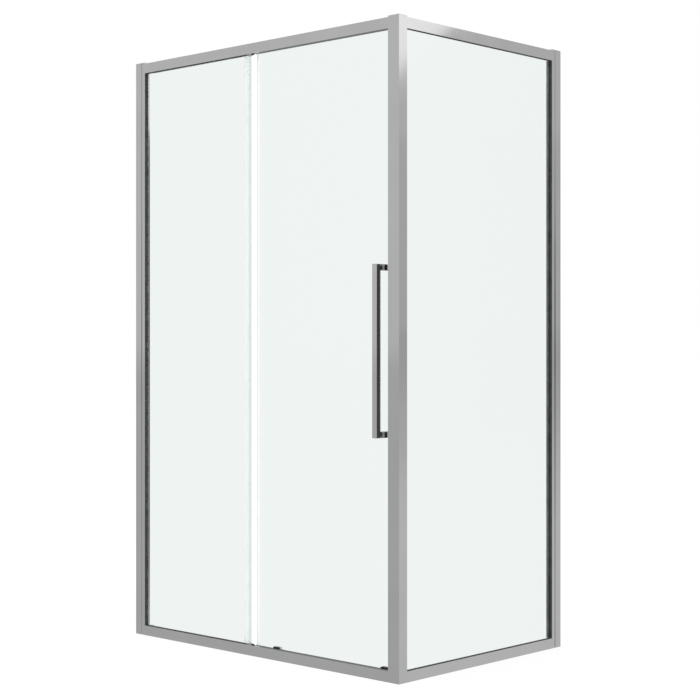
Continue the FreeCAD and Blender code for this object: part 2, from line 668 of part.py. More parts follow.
gasket_top = (header_bottom, pane_top)
gasket_bottom = (sill_top - pane_entry, sill_top)
gasket_upright = (sill_top, header_bottom)
clip_end = clip_start + size.clip_width
for layer, faces in (("outer", (size.pocket_setback, pane_outer)), ("inner", (pane_inner, pocket_inner))):
    front_run = (jamb_edge, clip_start - size.fit_clearance)
    keep(group(f"fixed_glass_{layer}_gasket", [
        block(f"fixed_{layer}_gasket_top", front_run, faces, gasket_top),
        block(f"fixed_{layer}_gasket_bottom", front_run, faces, gasket_bottom),
        block(f"fixed_{layer}_gasket_jamb", (pane_left, jamb_edge), faces, gasket_upright)]))
    side_faces = (size.enclosure_width - faces[1], size.enclosure_width - faces[0])
    keep(group(f"side_glass_{layer}_gasket", [
        block(f"side_{layer}_gasket_top", side_faces, (post_back, side_end), gasket_top),
        block(f"side_{layer}_gasket_bottom", side_faces, (post_back, side_end), gasket_bottom),
        block(f"side_{layer}_gasket_post", side_faces, (side_pane_start, post_back), gasket_upright),
        block(f"side_{layer}_gasket_jamb", side_faces, (side_end, pane_back), gasket_upright)]))

block_heights = (sill_pocket_floor, pane_bottom)


def setting_runs(start, end):
    """Where the two setting blocks of a pane lie between the ends of its rail."""
    first = start + size.setting_block_inset
    last = end - size.setting_block_inset
    return [(first, first + size.setting_block_length), (last - size.setting_block_length, last)]


setting_blocks = []
for index, run in enumerate(setting_runs(jamb_edge, clip_start), start=1):
    setting_blocks.append(block(f"fixed_setting_block_{index}", run, pane_thick, block_heights))
for index, run in enumerate(setting_runs(post_back, side_end), start=1):
    setting_blocks.append(block(f"side_setting_block_{index}", side_thick, run, block_heights))
keep(group("glass_setting_blocks", setting_blocks))

clip_faces = (pane_outer - size.clip_leg, pane_inner + size.clip_leg)


def clip_section(base, glass_end, free_end):
    """A channel round the pane's edge, from its base in the pocket to the free ends of its legs."""
    outer, inner = clip_faces
    return [
        (outer, base), (inner, base), (inner, free_end), (pane_inner, free_end),
        (pane_inner, glass_end), (pane_outer, glass_end), (pane_outer, free_end), (outer, free_end)]


clip_bottom_end = sill_top + size.clip_show
clip_top_end = header_bottom - size.clip_show
bottom_clip_section = clip_section(sill_pocket_floor, pane_bottom, clip_bottom_end)
top_clip_section = clip_section(header_pocket_top, pane_top, clip_top_end)
keep(extrusion("fixed_glass_bottom_clip", "X", [bottom_clip_section], clip_start, clip_end))
keep(extrusion("fixed_glass_top_clip", "X", [top_clip_section], clip_start, clip_end))

infill_run = (size.pane_reach + size.edge_seal_nose, post_left - size.fit_clearance)
infill_faces = (size.pocket_setback + size.fit_clearance, pocket_inner - size.fit_clearance)
keep(group("pocket_infill_strips", [
    block("header_infill", infill_run, infill_faces,
          (header_bottom, header_bottom + size.infill_thickness)),
    block("sill_infill", infill_run, infill_faces, (sill_top - size.infill_thickness, sill_top))]))

# Clear seals: the fixed pane's fin wipes the door glass, and the door's hook closes behind it.
skin = size.seal_wall
pane_edge = size.pane_reach
seal_start = pane_edge - size.edge_seal_leg
seal_tip = pane_edge + size.edge_seal_nose
fin_end = door_outer - size.edge_seal_fin_gap
edge_seal_section = [
    (seal_start, pane_outer - skin), (seal_tip, pane_outer - skin), (seal_tip, fin_end),
    (seal_tip - skin, fin_end), (seal_tip - skin, pane_inner + skin), (seal_start, pane_inner + skin),
    (seal_start, pane_inner), (pane_edge, pane_inner), (pane_edge, pane_outer), (seal_start, pane_outer)]
keep(extrusion("fixed_glass_edge_seal", "Z", [edge_seal_section], clip_bottom_end, clip_top_end))

hook_nose = door_left - size.trailing_seal_nose
hook_heel = door_left + size.trailing_seal_leg
seal_faces = (door_outer - skin, door_inner + skin)
hook_end = seal_faces[0] - size.trailing_fin
trailing_seal_section = [
    (hook_heel, door_outer), (door_left, door_outer), (door_left, door_inner), (hook_heel, door_inner),
    (hook_heel, seal_faces[1]), (hook_nose, seal_faces[1]), (hook_nose, hook_end),
    (hook_nose + skin, hook_end), (hook_nose + skin, seal_faces[0]), (hook_heel, seal_faces[0])]
door_seal_heights = (sill_top + skin, header_bottom - skin)
keep(extrusion("door_trailing_seal", "Z", [trailing_seal_section], *door_seal_heights))

magnet_nose = door_right + size.leading_seal_nose
magnet_heel = door_right - size.leading_seal_leg
leading_seal_section = [
    (magnet_heel, seal_faces[0]), (magnet_nose, seal_faces[0]), (magnet_nose, seal_faces[1]),
    (magnet_heel, seal_faces[1]), (magnet_heel, door_inner), (door_right, door_inner),
    (door_right, door_outer), (magnet_heel, door_outer)]
keep(extrusion("door_leading_seal", "Z", [leading_seal_section], *door_seal_heights))
keep(block("post_magnet_strip", (magnet_face, post_left + post_channel), seal_faces,
           (sill_top, header_bottom)))

# End plugs close the door's chamber beside the jamb and carry the rubber stops.
plug_end = jamb_edge + size.plug_length
flange_run = (jamb_edge - size.plug_flange, jamb_edge)
flange_faces = (jamb_inner + size.fit_clearance, size.front_rail_depth)
plug_start = rib_inner + size.fit_clearance
keep(fuse("header_end_plug",
          block("header_plug_flange", flange_run, flange_faces, (track_bottom, body_top)),
          block("header_plug_core", (jamb_edge, plug_end),
                (plug_start, flange_inner - size.fit_clearance),
                (track_top + size.fit_clearance, body_top - wall - size.fit_clearance))))
keep(fuse("sill_end_plug",
          block("sill_plug_flange", flange_run, flange_faces, (0, size.sill_back_height)),
          block("sill_plug_core", (jamb_edge, plug_end), (plug_start, guide_lip_outer - size.fit_clearance),
                (wall + size.fit_clearance, sill_top - size.infill_thickness))))
bumper_end = plug_end + size.bumper_length
bumper_heights = (track_bottom + size.bumper_offset, sill_top - size.bumper_offset)
bumper_profile = [
    (0, plug_end), (size.bumper_radius, plug_end), (size.bumper_radius, bumper_end), (0, bumper_end)]
keep(group("door_bumpers", [
    turned(f"{rail}_bumper", "X", bumper_profile, 0, door_middle, height)
    for rail, height in zip(("header", "sill"), bumper_heights)]))

# Sliding door: one pane hung from two rollers, with two guides at its foot and a handle through it.
sleeve_hole = size.sleeve_radius + size.hole_clearance
guide_screw_hole = size.guide_screw_radius + size.guide_glass_clearance
stud_hole = size.stud_radius + size.stud_glass_clearance
fittings = (("left", left_fitting), ("right", right_fitting))
guide_screw_places = [(x + size.guide_screw_offset * side, size.guide_screw_height)
                      for _, x in fittings for side in (-1, 1)]
glass_holes = [(x, roller_axis, sleeve_hole) for _, x in fittings]
glass_holes += [(x, height, guide_screw_hole) for x, height in guide_screw_places]
glass_holes += [(handle_x, height, stud_hole) for height in handle_legs]
keep(extrusion("door_glass", "Y", [rectangle((door_left, door_right), (door_bottom, door_top))],
               door_outer, door_inner, glass_holes))

bore = size.bolt_radius + size.bore_clearance
head_seat = door_outer - size.washer_thickness
head_face = head_seat - size.bolt_head
nut_seat = door_inner + size.washer_thickness
nut_end = nut_seat + size.nut_thickness
circlip_seat = wheel_inner + size.fit_clearance
circlip_end = circlip_seat + size.circlip_thickness
bolt_profile = [
    (0, head_face), (size.bolt_head_radius, head_face), (size.bolt_head_radius, head_seat),
    (size.bolt_radius, head_seat), (size.bolt_radius, circlip_end), (0, circlip_end)]


def ring(inner, outer, start, end):
    """Profile of a plain ring or sleeve."""
    return [(inner, start), (outer, start), (outer, end), (inner, end)]


def hexagon(x, height, radius):
    """Corners of a hexagon nut, two of them level with its axis."""
    corners = [(cos(turn * pi / 3), sin(turn * pi / 3)) for turn in range(6)]
    return [(x + radius * across, height + radius * up) for across, up in corners]


outer_ring_bore = size.inner_ring_radius + size.bearing_clearance
groove_outer = wheel_middle - size.groove_half_width
groove_inner = wheel_middle + size.groove_half_width
wheel_profile = [
    (size.bearing_radius, wheel_outer), (size.wheel_radius, wheel_outer), (size.wheel_radius, groove_outer),
    (size.running_radius, groove_outer), (size.running_radius, groove_inner),
    (size.wheel_radius, groove_inner), (size.wheel_radius, wheel_inner), (size.bearing_radius, wheel_inner)]
bearing_profile = ring(outer_ring_bore, size.bearing_radius, wheel_outer, wheel_inner)
outer_washer_profile = ring(bore, size.washer_radius, head_seat, door_outer)
inner_washer_profile = ring(bore, size.washer_radius, door_inner, nut_seat)
sleeve_profile = ring(bore, size.sleeve_radius, door_outer, door_inner)
inner_ring_profile = ring(bore, size.inner_ring_radius, nut_end, circlip_seat)
circlip_profile = ring(bore, size.circlip_radius, circlip_seat, circlip_end)
roller_washers = []
roller_sleeves = []
roller_nuts = []
roller_inner_rings = []
roller_circlips = []
for side, x in fittings:
    centre = (x, 0, roller_axis)
    keep(turned(f"{side}_roller_bolt", "Y", bolt_profile, *centre))
    keep(turned(f"{side}_roller_wheel", "Y", wheel_profile, *centre))
    keep(turned(f"{side}_roller_bearing", "Y", bearing_profile, *centre))
    roller_washers.append(turned(f"{side}_outer_washer", "Y", outer_washer_profile, *centre))
    roller_washers.append(turned(f"{side}_inner_washer", "Y", inner_washer_profile, *centre))
    roller_sleeves.append(turned(f"{side}_sleeve", "Y", sleeve_profile, *centre))
    roller_nuts.append(extrusion(f"{side}_nut", "Y", [hexagon(x, roller_axis, size.nut_radius)],
                                 nut_seat, nut_end, [(x, roller_axis, bore)]))
    roller_inner_rings.append(turned(f"{side}_inner_ring", "Y", inner_ring_profile, *centre))
    roller_circlips.append(turned(f"{side}_circlip", "Y", circlip_profile, *centre))
keep(group("roller_washers", roller_washers))
keep(group("roller_sleeves", roller_sleeves))
keep(group("roller_nuts", roller_nuts))
keep(group("roller_inner_rings", roller_inner_rings))
keep(group("roller_circlips", roller_circlips))

# Guides at the door's foot. A sprung plunger straddles the sill's lip; lifting its tab frees the door.
housing_inner = door_inner + size.housing_depth
shaft_half = size.plunger_half_width + size.fit_clearance
plunger_outer = guide_lip_outer - size.fit_clearance - size.finger_thickness
plunger_inner = guide_lip_inner + size.fit_clearance + size.finger_thickness
shaft_faces = (plunger_outer - size.fit_clearance, plunger_inner + size.fit_clearance)
shaft_top = size.plunger_top + size.plunger_travel + wall
finger_root = size.guide_lip_height + size.finger_gap
tab_bottom = size.plunger_top - size.tab_height
slot_top = size.plunger_top + size.plunger_travel + size.fit_clearance
slot_heights = (tab_bottom - size.fit_clearance, slot_top)
slot_half = size.tab_half_width + size.fit_clearance
spring_y = (plunger_outer + plunger_inner) / 2
spring_bore = size.spring_radius + size.spring_clearance
guide_hole = size.guide_screw_radius + size.hole_clearance
screw_seat = housing_inner - size.recess_depth
screw_head_end = screw_seat + size.guide_screw_head
screw_head_radius = size.recess_radius - size.cover_gap
clamp_outer = door_outer - size.clamp_thickness
clamp_hole_floor = clamp_outer + size.clamp_skin
screw_tip = clamp_hole_floor + size.hole_clearance
guide_screw_profile = [
    (0, screw_tip), (size.guide_screw_radius, screw_tip), (size.guide_screw_radius, screw_seat),
    (screw_head_radius, screw_seat), (screw_head_radius, screw_head_end), (0, screw_head_end)]
spring_profile = ring(
    size.spring_radius - size.spring_wire, size.spring_radius, size.spring_seat, shaft_top)
finger_outer = plunger_outer + size.finger_thickness
finger_inner = plunger_inner - size.finger_thickness
fork_section = [
    (plunger_outer, size.plunger_bottom), (finger_outer, size.plunger_bottom), (finger_outer, finger_root),
    (finger_inner, finger_root), (finger_inner, size.plunger_bottom), (plunger_inner, size.plunger_bottom),
    (plunger_inner, size.plunger_top), (plunger_outer, size.plunger_top)]


def guide_outline(x, wing_top):
    """A broad foot with a narrower raised middle."""
    wide, narrow = size.guide_half_width, size.guide_tower_half
    bottom, top = size.guide_bottom, size.guide_top
    return [
        (x - wide, bottom), (x + wide, bottom), (x + wide, wing_top), (x + narrow, wing_top),
        (x + narrow, top), (x - narrow, top), (x - narrow, wing_top), (x - wide, wing_top)]


guide_screws = []
for side, x in fittings:
    housing_holes = []
    clamp_holes = []
    for index, direction in enumerate((-1, 1), start=1):
        across = (x + size.guide_screw_offset * direction, size.guide_screw_height)
        housing_holes.append(rod(f"{side}_guide_hole_{index}", "Y", guide_hole, door_inner, housing_inner,
                                 *across))
        housing_holes.append(rod(f"{side}_guide_recess_{index}", "Y", size.recess_radius, screw_seat,
                                 housing_inner, *across))
        clamp_holes.append(rod(f"{side}_clamp_hole_{index}", "Y", guide_hole, clamp_hole_floor, door_outer,
                               *across))
        guide_screws.append(turned(f"{side}_guide_screw_{index}", "Y", guide_screw_profile,
                                   across[0], 0, across[1]))
    housing_blank = extrusion(f"{side}_guide_housing_blank", "Y", [guide_outline(x, size.housing_wing_top)],
                              door_inner, housing_inner)
    shaft = block(f"{side}_guide_shaft", (x - shaft_half, x + shaft_half), shaft_faces,
                  (size.guide_bottom, shaft_top))
    slot = block(f"{side}_guide_slot", (x - slot_half, x + slot_half), (shaft_faces[1], housing_inner),
                 slot_heights)
    keep(cut(f"{side}_guide_housing", housing_blank, shaft, slot, *housing_holes))
    clamp_blank = extrusion(f"{side}_guide_clamp_blank", "Y", [guide_outline(x, size.clamp_wing_top)],
                            clamp_outer, door_outer)
    keep(cut(f"{side}_guide_clamp", clamp_blank, *clamp_holes))
    fork = extrusion(f"{side}_plunger_fork", "X", [fork_section],
                     x - size.plunger_half_width, x + size.plunger_half_width)
    tab = block(f"{side}_plunger_tab", (x - size.tab_half_width, x + size.tab_half_width),
                (plunger_inner, plunger_inner + size.tab_reach), (tab_bottom, size.plunger_top))
    spring_hole = rod(f"{side}_spring_bore", "Z", spring_bore, size.spring_seat, size.plunger_top,
                      x, spring_y)
    keep(cut(f"{side}_guide_plunger", fuse(f"{side}_plunger_blank", fork, tab), spring_hole))
    keep(turned(f"{side}_guide_spring", "Z", spring_profile, x, spring_y, 0))
keep(group("guide_screws", guide_screws))


# Handles: a square bar bent to a D outside, its twin inside, and two studs through the glass.
def handle_section(root, reach):
    """Side view of a D handle, from its legs' feet at root to the bar's outer face at reach."""
    low = size.handle_centre - size.handle_length / 2
    high = size.handle_centre + size.handle_length / 2
    towards_glass = 1 if root.value > reach.value else -1
    back = reach + size.handle_bar * towards_glass
    return [
        (root, low), (reach, low), (reach, high), (root, high),
        (root, high - size.handle_bar), (back, high - size.handle_bar),
        (back, low + size.handle_bar), (root, low + size.handle_bar)]


bar_half = size.handle_bar / 2
stud_bore = size.stud_radius + size.bore_clearance


def handle(name, root, reach, bore_start, bore_end, extra_holes=()):
    """A handle with a blind bore for the stud in each leg."""
    blank = extrusion(f"{name}_blank", "X", [handle_section(root, reach)],
                      handle_x - bar_half, handle_x + bar_half)
    pad = blank.Tip
    pad.recompute(True)
    rounded = blank.newObject("PartDesign::Fillet", f"{name}_rounding")
    rounded.Base = (pad, [f"Edge{index}" for index in range(1, len(pad.Shape.Edges) + 1)])
    rounded.setExpression("Radius", size.handle_edge.text)
    blank.Tip = rounded
    bores = [rod(f"{name}_bore_{index}", "Y", stud_bore, bore_start, bore_end, handle_x, height)
             for index, height in enumerate(handle_legs, start=1)]
    keep(cut(name, blank, *bores, *extra_holes))


outer_foot = door_outer - size.handle_washer
inner_foot = door_inner + size.handle_washer
stud_ends = (outer_foot - size.stud_grip, inner_foot + size.stud_grip)
grub_y = inner_foot + size.stud_grip / 2
grub_start = handle_x + stud_bore
grub_end = handle_x + bar_half - size.grub_recess
grub_hole = size.grub_radius + size.bore_clearance
grub_holes = [rod(f"grub_hole_{index}", "X", grub_hole, handle_x, handle_x + bar_half, grub_y, height)
              for index, height in enumerate(handle_legs, start=1)]
handle("outer_handle", outer_foot, handle_face, stud_ends[0], outer_foot)
handle("inner_handle", inner_foot, door_inner + size.handle_reach, inner_foot, stud_ends[1], grub_holes)

stud_profile = [
    (0, stud_ends[0]), (size.stud_radius, stud_ends[0]),
    (size.stud_radius, stud_ends[1]), (0, stud_ends[1])]
grub_profile = [
    (0, grub_start), (size.grub_radius, grub_start),
    (size.grub_radius, grub_end), (0, grub_end)]
outer_foot_washer = ring(stud_bore, size.handle_washer_radius, outer_foot, door_outer)
inner_foot_washer = ring(stud_bore, size.handle_washer_radius, door_inner, inner_foot)
studs = []
handle_washers = []
grub_screws = []
for index, height in enumerate(handle_legs, start=1):
    centre = (handle_x, 0, height)
    studs.append(turned(f"handle_stud_{index}", "Y", stud_profile, *centre))
    handle_washers.append(turned(f"outer_handle_washer_{index}", "Y", outer_foot_washer, *centre))
    handle_washers.append(turned(f"inner_handle_washer_{index}", "Y", inner_foot_washer, *centre))
    grub_screws.append(turned(f"handle_grub_screw_{index}", "X", grub_profile, 0, grub_y, height))
keep(group("handle_studs", studs))
keep(group("handle_washers", handle_washers))
keep(group("handle_grub_screws", grub_screws))

doc.recompute()

failed = [item.Name for item in doc.Objects if {"Invalid", "Error"} & set(item.State)]
if failed:
    raise RuntimeError(f"features that failed to build: {failed}")
for node in nodes:
    if node.Shape.isNull() or not node.Shape.isValid() or not node.Shape.Solids:
        raise RuntimeError(f"{node.Label} has no valid solid")

os.makedirs("parts", exist_ok=True)
for node in nodes:
    node.Shape.exportStep(f"parts/{node.Label}.step")
print(f"{len(nodes)} sub-parts")
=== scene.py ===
import math

import bmesh
import bpy
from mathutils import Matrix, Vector


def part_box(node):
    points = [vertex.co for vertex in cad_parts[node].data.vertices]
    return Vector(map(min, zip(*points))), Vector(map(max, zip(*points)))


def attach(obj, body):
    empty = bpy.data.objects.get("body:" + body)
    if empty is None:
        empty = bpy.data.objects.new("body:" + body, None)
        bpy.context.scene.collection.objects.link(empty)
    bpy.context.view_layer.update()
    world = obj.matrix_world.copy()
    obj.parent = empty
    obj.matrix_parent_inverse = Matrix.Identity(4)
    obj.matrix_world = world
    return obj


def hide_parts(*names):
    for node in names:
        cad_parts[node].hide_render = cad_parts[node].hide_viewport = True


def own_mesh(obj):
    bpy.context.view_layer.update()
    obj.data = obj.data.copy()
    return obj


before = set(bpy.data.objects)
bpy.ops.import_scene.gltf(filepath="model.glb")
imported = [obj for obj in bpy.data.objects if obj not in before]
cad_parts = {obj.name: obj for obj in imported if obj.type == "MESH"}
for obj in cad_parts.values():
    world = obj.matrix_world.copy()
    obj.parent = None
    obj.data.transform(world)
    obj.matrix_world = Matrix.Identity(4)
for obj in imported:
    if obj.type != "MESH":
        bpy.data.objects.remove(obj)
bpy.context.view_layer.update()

bl_info = {
    "name": "Corner shower enclosure",
    "version": (1, 0, 0),
    "blender": (4, 5, 0),
    "location": "View3D > Sidebar > Enclosure",
    "description": "Finishes the packed shower enclosure and sets it in a plain studio",
    "category": "Object",
}

MM_PER_METRE = 1000

# Sizes in millimetres: X from the left wall, Y from the outer front face and Z from the floor.
# ORIGIN_X and ORIGIN_Y are where the row frame's origin lies.
ORIGIN_X = 600.0
ORIGIN_Y = 384.0

# The frame. A jamb's edge and the post's two edges are where they meet the glass.
WIDTH = 1200.0
DEPTH = 800.0
FRAME_TOP = 1946.0
CAP_TOP = 1950.0
SILL_TOP = 33.0
HEADER_BOTTOM = 1913.0
FRONT_RAIL_DEPTH = 42.0
WALL_PROFILE_DEPTH = 26.0
JAMB_EDGE = 47.0
POST_LEFT = 1157.0
POST_SIDE = 36.0
POST_INNER_FACE = 1175.7

# The fixed panes with the pockets that hold them, and the door's glass.
PANE_OUTER, PANE_INNER = 10.0, 16.0
PANE_EDGE = 588.0
PANE_BOTTOM, PANE_TOP = 17.6, 1924.0
POCKET_BOTTOM, POCKET_TOP = 14.6, 1926.0
DOOR_OUTER, DOOR_INNER = 24.0, 30.0
DOOR_LEFT, DOOR_RIGHT = 528.0, 1166.0
GLASS_PLAY = 0.05

# Caps. A peg stands this far inside the upright's outside, and overlaps its cap.
PEG_INSET = 2.2
PEG_BOTTOM = 1940.0
PEG_OVERLAP = 0.2
WALL_PEG_WIDTH = 5.2
POST_PEG_BACK = 18.4

# Corner clips of the fixed pane: their run along X, the joint of their two halves and their legs.
CLIP_RUN = (552.0, 578.0)
CLIP_JOINT = 567.5
CLIP_JOINT_GAP = 0.1
CLIP_SHOW = 4.0
CLIP_LEG = 1.8
CLIP_TIP = 1.0

# Gasket sections are (distance into the opening, depth from the outer face).
GASKET_ROOT = -10.5
OUTER_GASKET_FRONT, OUTER_GASKET_BACK = 8.2, 9.9
INNER_GASKET_FRONT, INNER_GASKET_BACK = 16.1, 17.8
GASKET_TO_CLIP = 0.3
SIDE_LIP_OUTER, SIDE_LIP_INNER = 1183.9, 1175.2
SIDE_LIP_END_GAP = 0.5

# Seals. Outlines are (x, y).
SEAL_WALL = 1.0
EDGE_CHANNEL_START = 568.0
EDGE_CHANNEL_NOSE = 1.5
EDGE_CHANNEL_TO_CLIP = 0.4
EDGE_CHANNEL_END_GAP = 1.4
WIPER_FIN = [(588.3, 17.05), (589.4, 17.05), (589.45, 19.5), (588.7, 22.6), (587.4, 23.55), (587.0, 23.1),
             (587.9, 22.3), (588.4, 19.5)]
HOOK_LEG = 14.0
HOOK_NOSE = 3.0
HOOK_FIN = [(525, 22), (525.2, 17.4), (526.1, 17.3), (526.3, 20), (527.2, 23)]
LEADING_LEG = 8.0
LEADING_NOSE = 6.0
DOOR_SEAL_END_GAP = 1.0

# Fittings. Turned profiles are (radius, distance from the outer face).
FITTINGS = {"left": 664.0, "right": 1120.0}
STUD_X = 1132.0
STUD_HEIGHTS = (723.0, 1215.0)
WASHER = [(4.05, 23), (7.9, 23), (8.5, 23.3), (8.5, 23.75), (8.2, 23.95), (4.05, 23.95)]
ROLLER_HEIGHT = 1932.0
WHEEL = [(6.5, 33.9), (10.2, 33.9), (10.9, 34.2), (11, 34.7), (10.6, 35.1), (9.2, 35.25), (9, 35.6),
         (9, 37.2), (9.2, 37.55), (10.6, 37.7), (11, 38.1), (10.9, 38.6), (10.2, 38.9), (6.5, 38.9)]
BOLT = [(0, 20.6), (6.5, 20.65), (8.2, 21.1), (9, 22), (9, 23.3), (8.8, 23.4), (3, 23.4), (3, 39.6),
        (2.7, 39.8), (0, 39.8)]
SLEEVE = [(3.05, 24), (5.7, 24), (6, 24.3), (6, 29.7), (5.7, 30), (3.05, 30)]
NUT_RADIUS = 5.8
NUT_RUN = (30.6, 33.4)
NUT_SIDES = 6
CLAMP_WING, CLAMP_TOWER = 23.0, 12.5
CLAMP_BOTTOM, CLAMP_WING_TOP, CLAMP_TOP = 15.0, 26.0, 36.0
CLAMP_RUN = (21.8, 23.98)
COIL_DEPTH = 34.2
COIL_RADIUS = 1.6
COIL_WIRE = 0.3
COIL_BOTTOM, COIL_TOP = 15.0, 33.1
COIL_TURNS = 7
COIL_CLOSING = 0.55
GUIDE_SCREW_OFFSET = 17.5
GUIDE_SCREW_HEIGHT = 20.5
GUIDE_SCREW = [(0, 22.5), (2, 22.5), (2, 36.5), (3.5, 36.5), (3.5, 37.9), (3.1, 38.5), (1.8, 38.7),
               (1.3, 38.1), (0, 38.1)]
COVER_SETBACK = 18.0
COVER_HEIGHTS = (100.0, 973.0, 1846.0)
COVER = [(4.3, 26), (5.3, 26), (5.6, 26.3), (5.6, 27.6), (5.2, 28.5), (4.2, 29.1), (2.4, 29.38), (0, 29.4),
         (0, 28.2), (4.3, 28.2)]

# How finely meshes are divided, the largest share of a side that a rounded corner takes, and the
# angle in degrees above which an edge stays sharp.
CORNER_STEPS = 4
CORNER_SHARE = 0.45
LATHE_SEGMENTS = 40
BEVEL_SEGMENTS = 3
WIRE_SIDES = 10
STEPS_PER_TURN = 22
SHARP_ANGLE = 32

# CAD nodes that keep their shape and only get a material, by the direction they are drawn in.
EXTRUSIONS = {
    "x": ("front_header", "front_sill"),
    "y": ("side_header", "side_sill"),
    "z": ("front_wall_profile", "side_wall_profile", "front_jamb", "side_jamb", "corner_post"),
}
STEEL_NODES = (
    "front_frame_screws", "side_frame_screws", "jamb_lock_screws", "roller_washers", "roller_circlips",
    "roller_inner_rings", "handle_studs", "handle_grub_screws", "left_roller_bearing", "right_roller_bearing",
)

# Noise stretched into lines: coarse along the metal and fine across it.
ALONG, ACROSS = 3.0, 1400.0
STRETCH = {"x": (ALONG, ACROSS, ACROSS), "y": (ACROSS, ALONG, ACROSS), "z": (ACROSS, ACROSS, ALONG)}
GRAIN_SCALE = 900.0
BUMP_STRENGTH = 0.3
RIM_ROUGHNESS = 0.12

# What the polished metal reflects, as brightness by direction. A fade is the two cosines where it
# starts and is full. The overhead panel starts at two planes through the middle of the studio.
UP = (0.0, 0.0, 1.0)
FRONT_LEFT, FRONT_LEFT_FADE = (-0.7, -0.7, 0.0), (-0.4, 0.2)
FRONT_LEFT_HORIZON = ((-0.02, 0.006), (0.375, 0.47))
BACK_RIGHT_HORIZON = ((-0.11, -0.01), (0.475, 0.35))
BACK_RIGHT_STEPS = (((0.0, 0.012), 0.39), ((0.118, 0.135), 0.43))
CARDS = (
    ((-0.70, 0.71, 0.0), (0.60, 0.88), 0.2),
    ((0.672, -0.740, 0.0), (0.985, 0.995), 0.045),
    ((0.80, 0.60, 0.0), (0.982, 0.993), 0.17),
)
PANEL_SIDE, PANEL_SIDE_FADE = (0.66, 0.75, 0.0), (0.05, 0.35)
PANEL_EDGES = ((0.3868, -0.5186, 0.7624), (-0.0352, -0.1657, 0.9855))
PANEL_EDGE_FADE = (-0.0025, 0.0025)
PANEL_BRIGHTNESS = 0.84

# Studio, in metres and degrees.
FLOOR_REACH = 30.0
FLOOR_CELLS = 24
FLOOR_DROP = 0.0005
LIGHT_TARGET = (0, 0, 0.9)
SOFT_LIGHTS = (
    ("soft_front", (-2.6, -3.4, 3.6), 3.0, 1.0),
    ("soft_side", (4.2, 0.6, 3.0), 2.5, 0.5),
)
CAMERA_PLACE = (3.62973, -3.82286, 0.98048)
CAMERA_TURN = 43.1607
CAMERA_SHIFT = -0.00407
CAMERA_REACH = 100.0
SENSOR_WIDTH = 36.0


def row(x, y, z):
    """A point in the row frame, from millimetres off the left wall, the outer face and the floor."""
    return Vector(((x - ORIGIN_X) / MM_PER_METRE, (y - ORIGIN_Y) / MM_PER_METRE, z / MM_PER_METRE))


def settings():
    return bpy.context.scene.enclosure


# Sizes and colours a user would change.


class MetalFinish(bpy.types.PropertyGroup):
    colour: bpy.props.FloatVectorProperty(
        name="Colour", description="Colour of the polished profiles",
        default=(0.905, 0.905, 0.91), subtype="COLOR", size=3, min=0, max=1)
    roughness: bpy.props.FloatProperty(
        name="Roughness", description="How much the polish blurs reflections",
        default=0.05, min=0, max=1, subtype="FACTOR")
    line_depth: bpy.props.FloatProperty(
        name="Line depth", description="Depth of the fine drawn lines along each profile",
        default=0.000005, min=0, max=0.001, precision=6, unit="LENGTH")
    handle_colour: bpy.props.FloatVectorProperty(
        name="Handle colour", description="Colour of the chromed handles",
        default=(0.91, 0.915, 0.915), subtype="COLOR", size=3, min=0, max=1)


class GlassFinish(bpy.types.PropertyGroup):
    face: bpy.props.FloatVectorProperty(
        name="Face colour", description="Tint seen through a pane",
        default=(0.877, 0.92, 0.902), subtype="COLOR", size=3, min=0, max=1)
    edge: bpy.props.FloatVectorProperty(
        name="Edge colour", description="Deeper green of a pane's ground edge",
        default=(0.62, 0.84, 0.76), subtype="COLOR", size=3, min=0, max=1)
    refraction: bpy.props.FloatProperty(
        name="Refraction", description="Index of refraction, kept low so that the panes hardly bend the view",
        default=1.2, min=1, max=2)


class TrimSizes(bpy.types.PropertyGroup):
    bead: bpy.props.FloatProperty(
        name="Gasket bead", description="How far a gasket stands beyond the metal",
        default=0.0006, min=0.0004, max=0.002, unit="LENGTH")
    cap_round: bpy.props.FloatProperty(
        name="Cap rounding", description="Radius of the caps' top edges",
        default=0.0009, min=0.0001, max=0.0015, unit="LENGTH")
    rubber: bpy.props.FloatVectorProperty(
        name="Rubber colour", description="Colour of the outer gaskets and other black rubber",
        default=(0.065, 0.066, 0.066), subtype="COLOR", size=3, min=0, max=1)
    # Lightened past the rubber's own mid grey as painted light, against the shade in the fixed pane's pocket;
    # the side pane's copy is darkened from it as painted shade.
    inner_rubber: bpy.props.FloatVectorProperty(
        name="Inner gasket colour", description="Colour of the gasket behind the fixed pane",
        default=(0.62, 0.63, 0.63), subtype="COLOR", size=3, min=0, max=1)
    seal: bpy.props.FloatVectorProperty(
        name="Seal colour", description="Colour of the milky seals",
        default=(0.97, 0.975, 0.975), subtype="COLOR", size=3, min=0, max=1)


class StudioSettings(bpy.types.PropertyGroup):
    lens: bpy.props.FloatProperty(
        name="Lens", description="Focal length of the camera", default=81.086, min=10, max=300,
        unit="CAMERA")
    ambient: bpy.props.FloatProperty(
        name="Ambient light", description="Brightness of the studio round the enclosure",
        default=0.92, min=0, max=3)
    soft_light: bpy.props.FloatProperty(
        name="Soft light", description="Power of the large soft light", default=60, min=0, max=1000,
        unit="POWER")


class EnclosureSettings(bpy.types.PropertyGroup):
    metal: bpy.props.PointerProperty(
        type=MetalFinish, name="Metal", description="Finish of profiles and handles")
    glass: bpy.props.PointerProperty(
        type=GlassFinish, name="Glass", description="Tint of the panes")
    trim: bpy.props.PointerProperty(
        type=TrimSizes, name="Trim", description="Gaskets, seals and caps")
    studio: bpy.props.PointerProperty(
        type=StudioSettings, name="Studio", description="Camera and lights")


# Node helpers. A value is a number, a tuple or another node's socket.


def feed(tree, value, socket):
    if isinstance(value, bpy.types.NodeSocket):
        tree.links.new(value, socket)
    else:
        socket.default_value = value


def math_node(tree, operation, *values):
    node = tree.nodes.new("ShaderNodeMath")
    node.operation = operation
    for socket, value in zip(node.inputs, values):
        feed(tree, value, socket)
    return node.outputs[0]


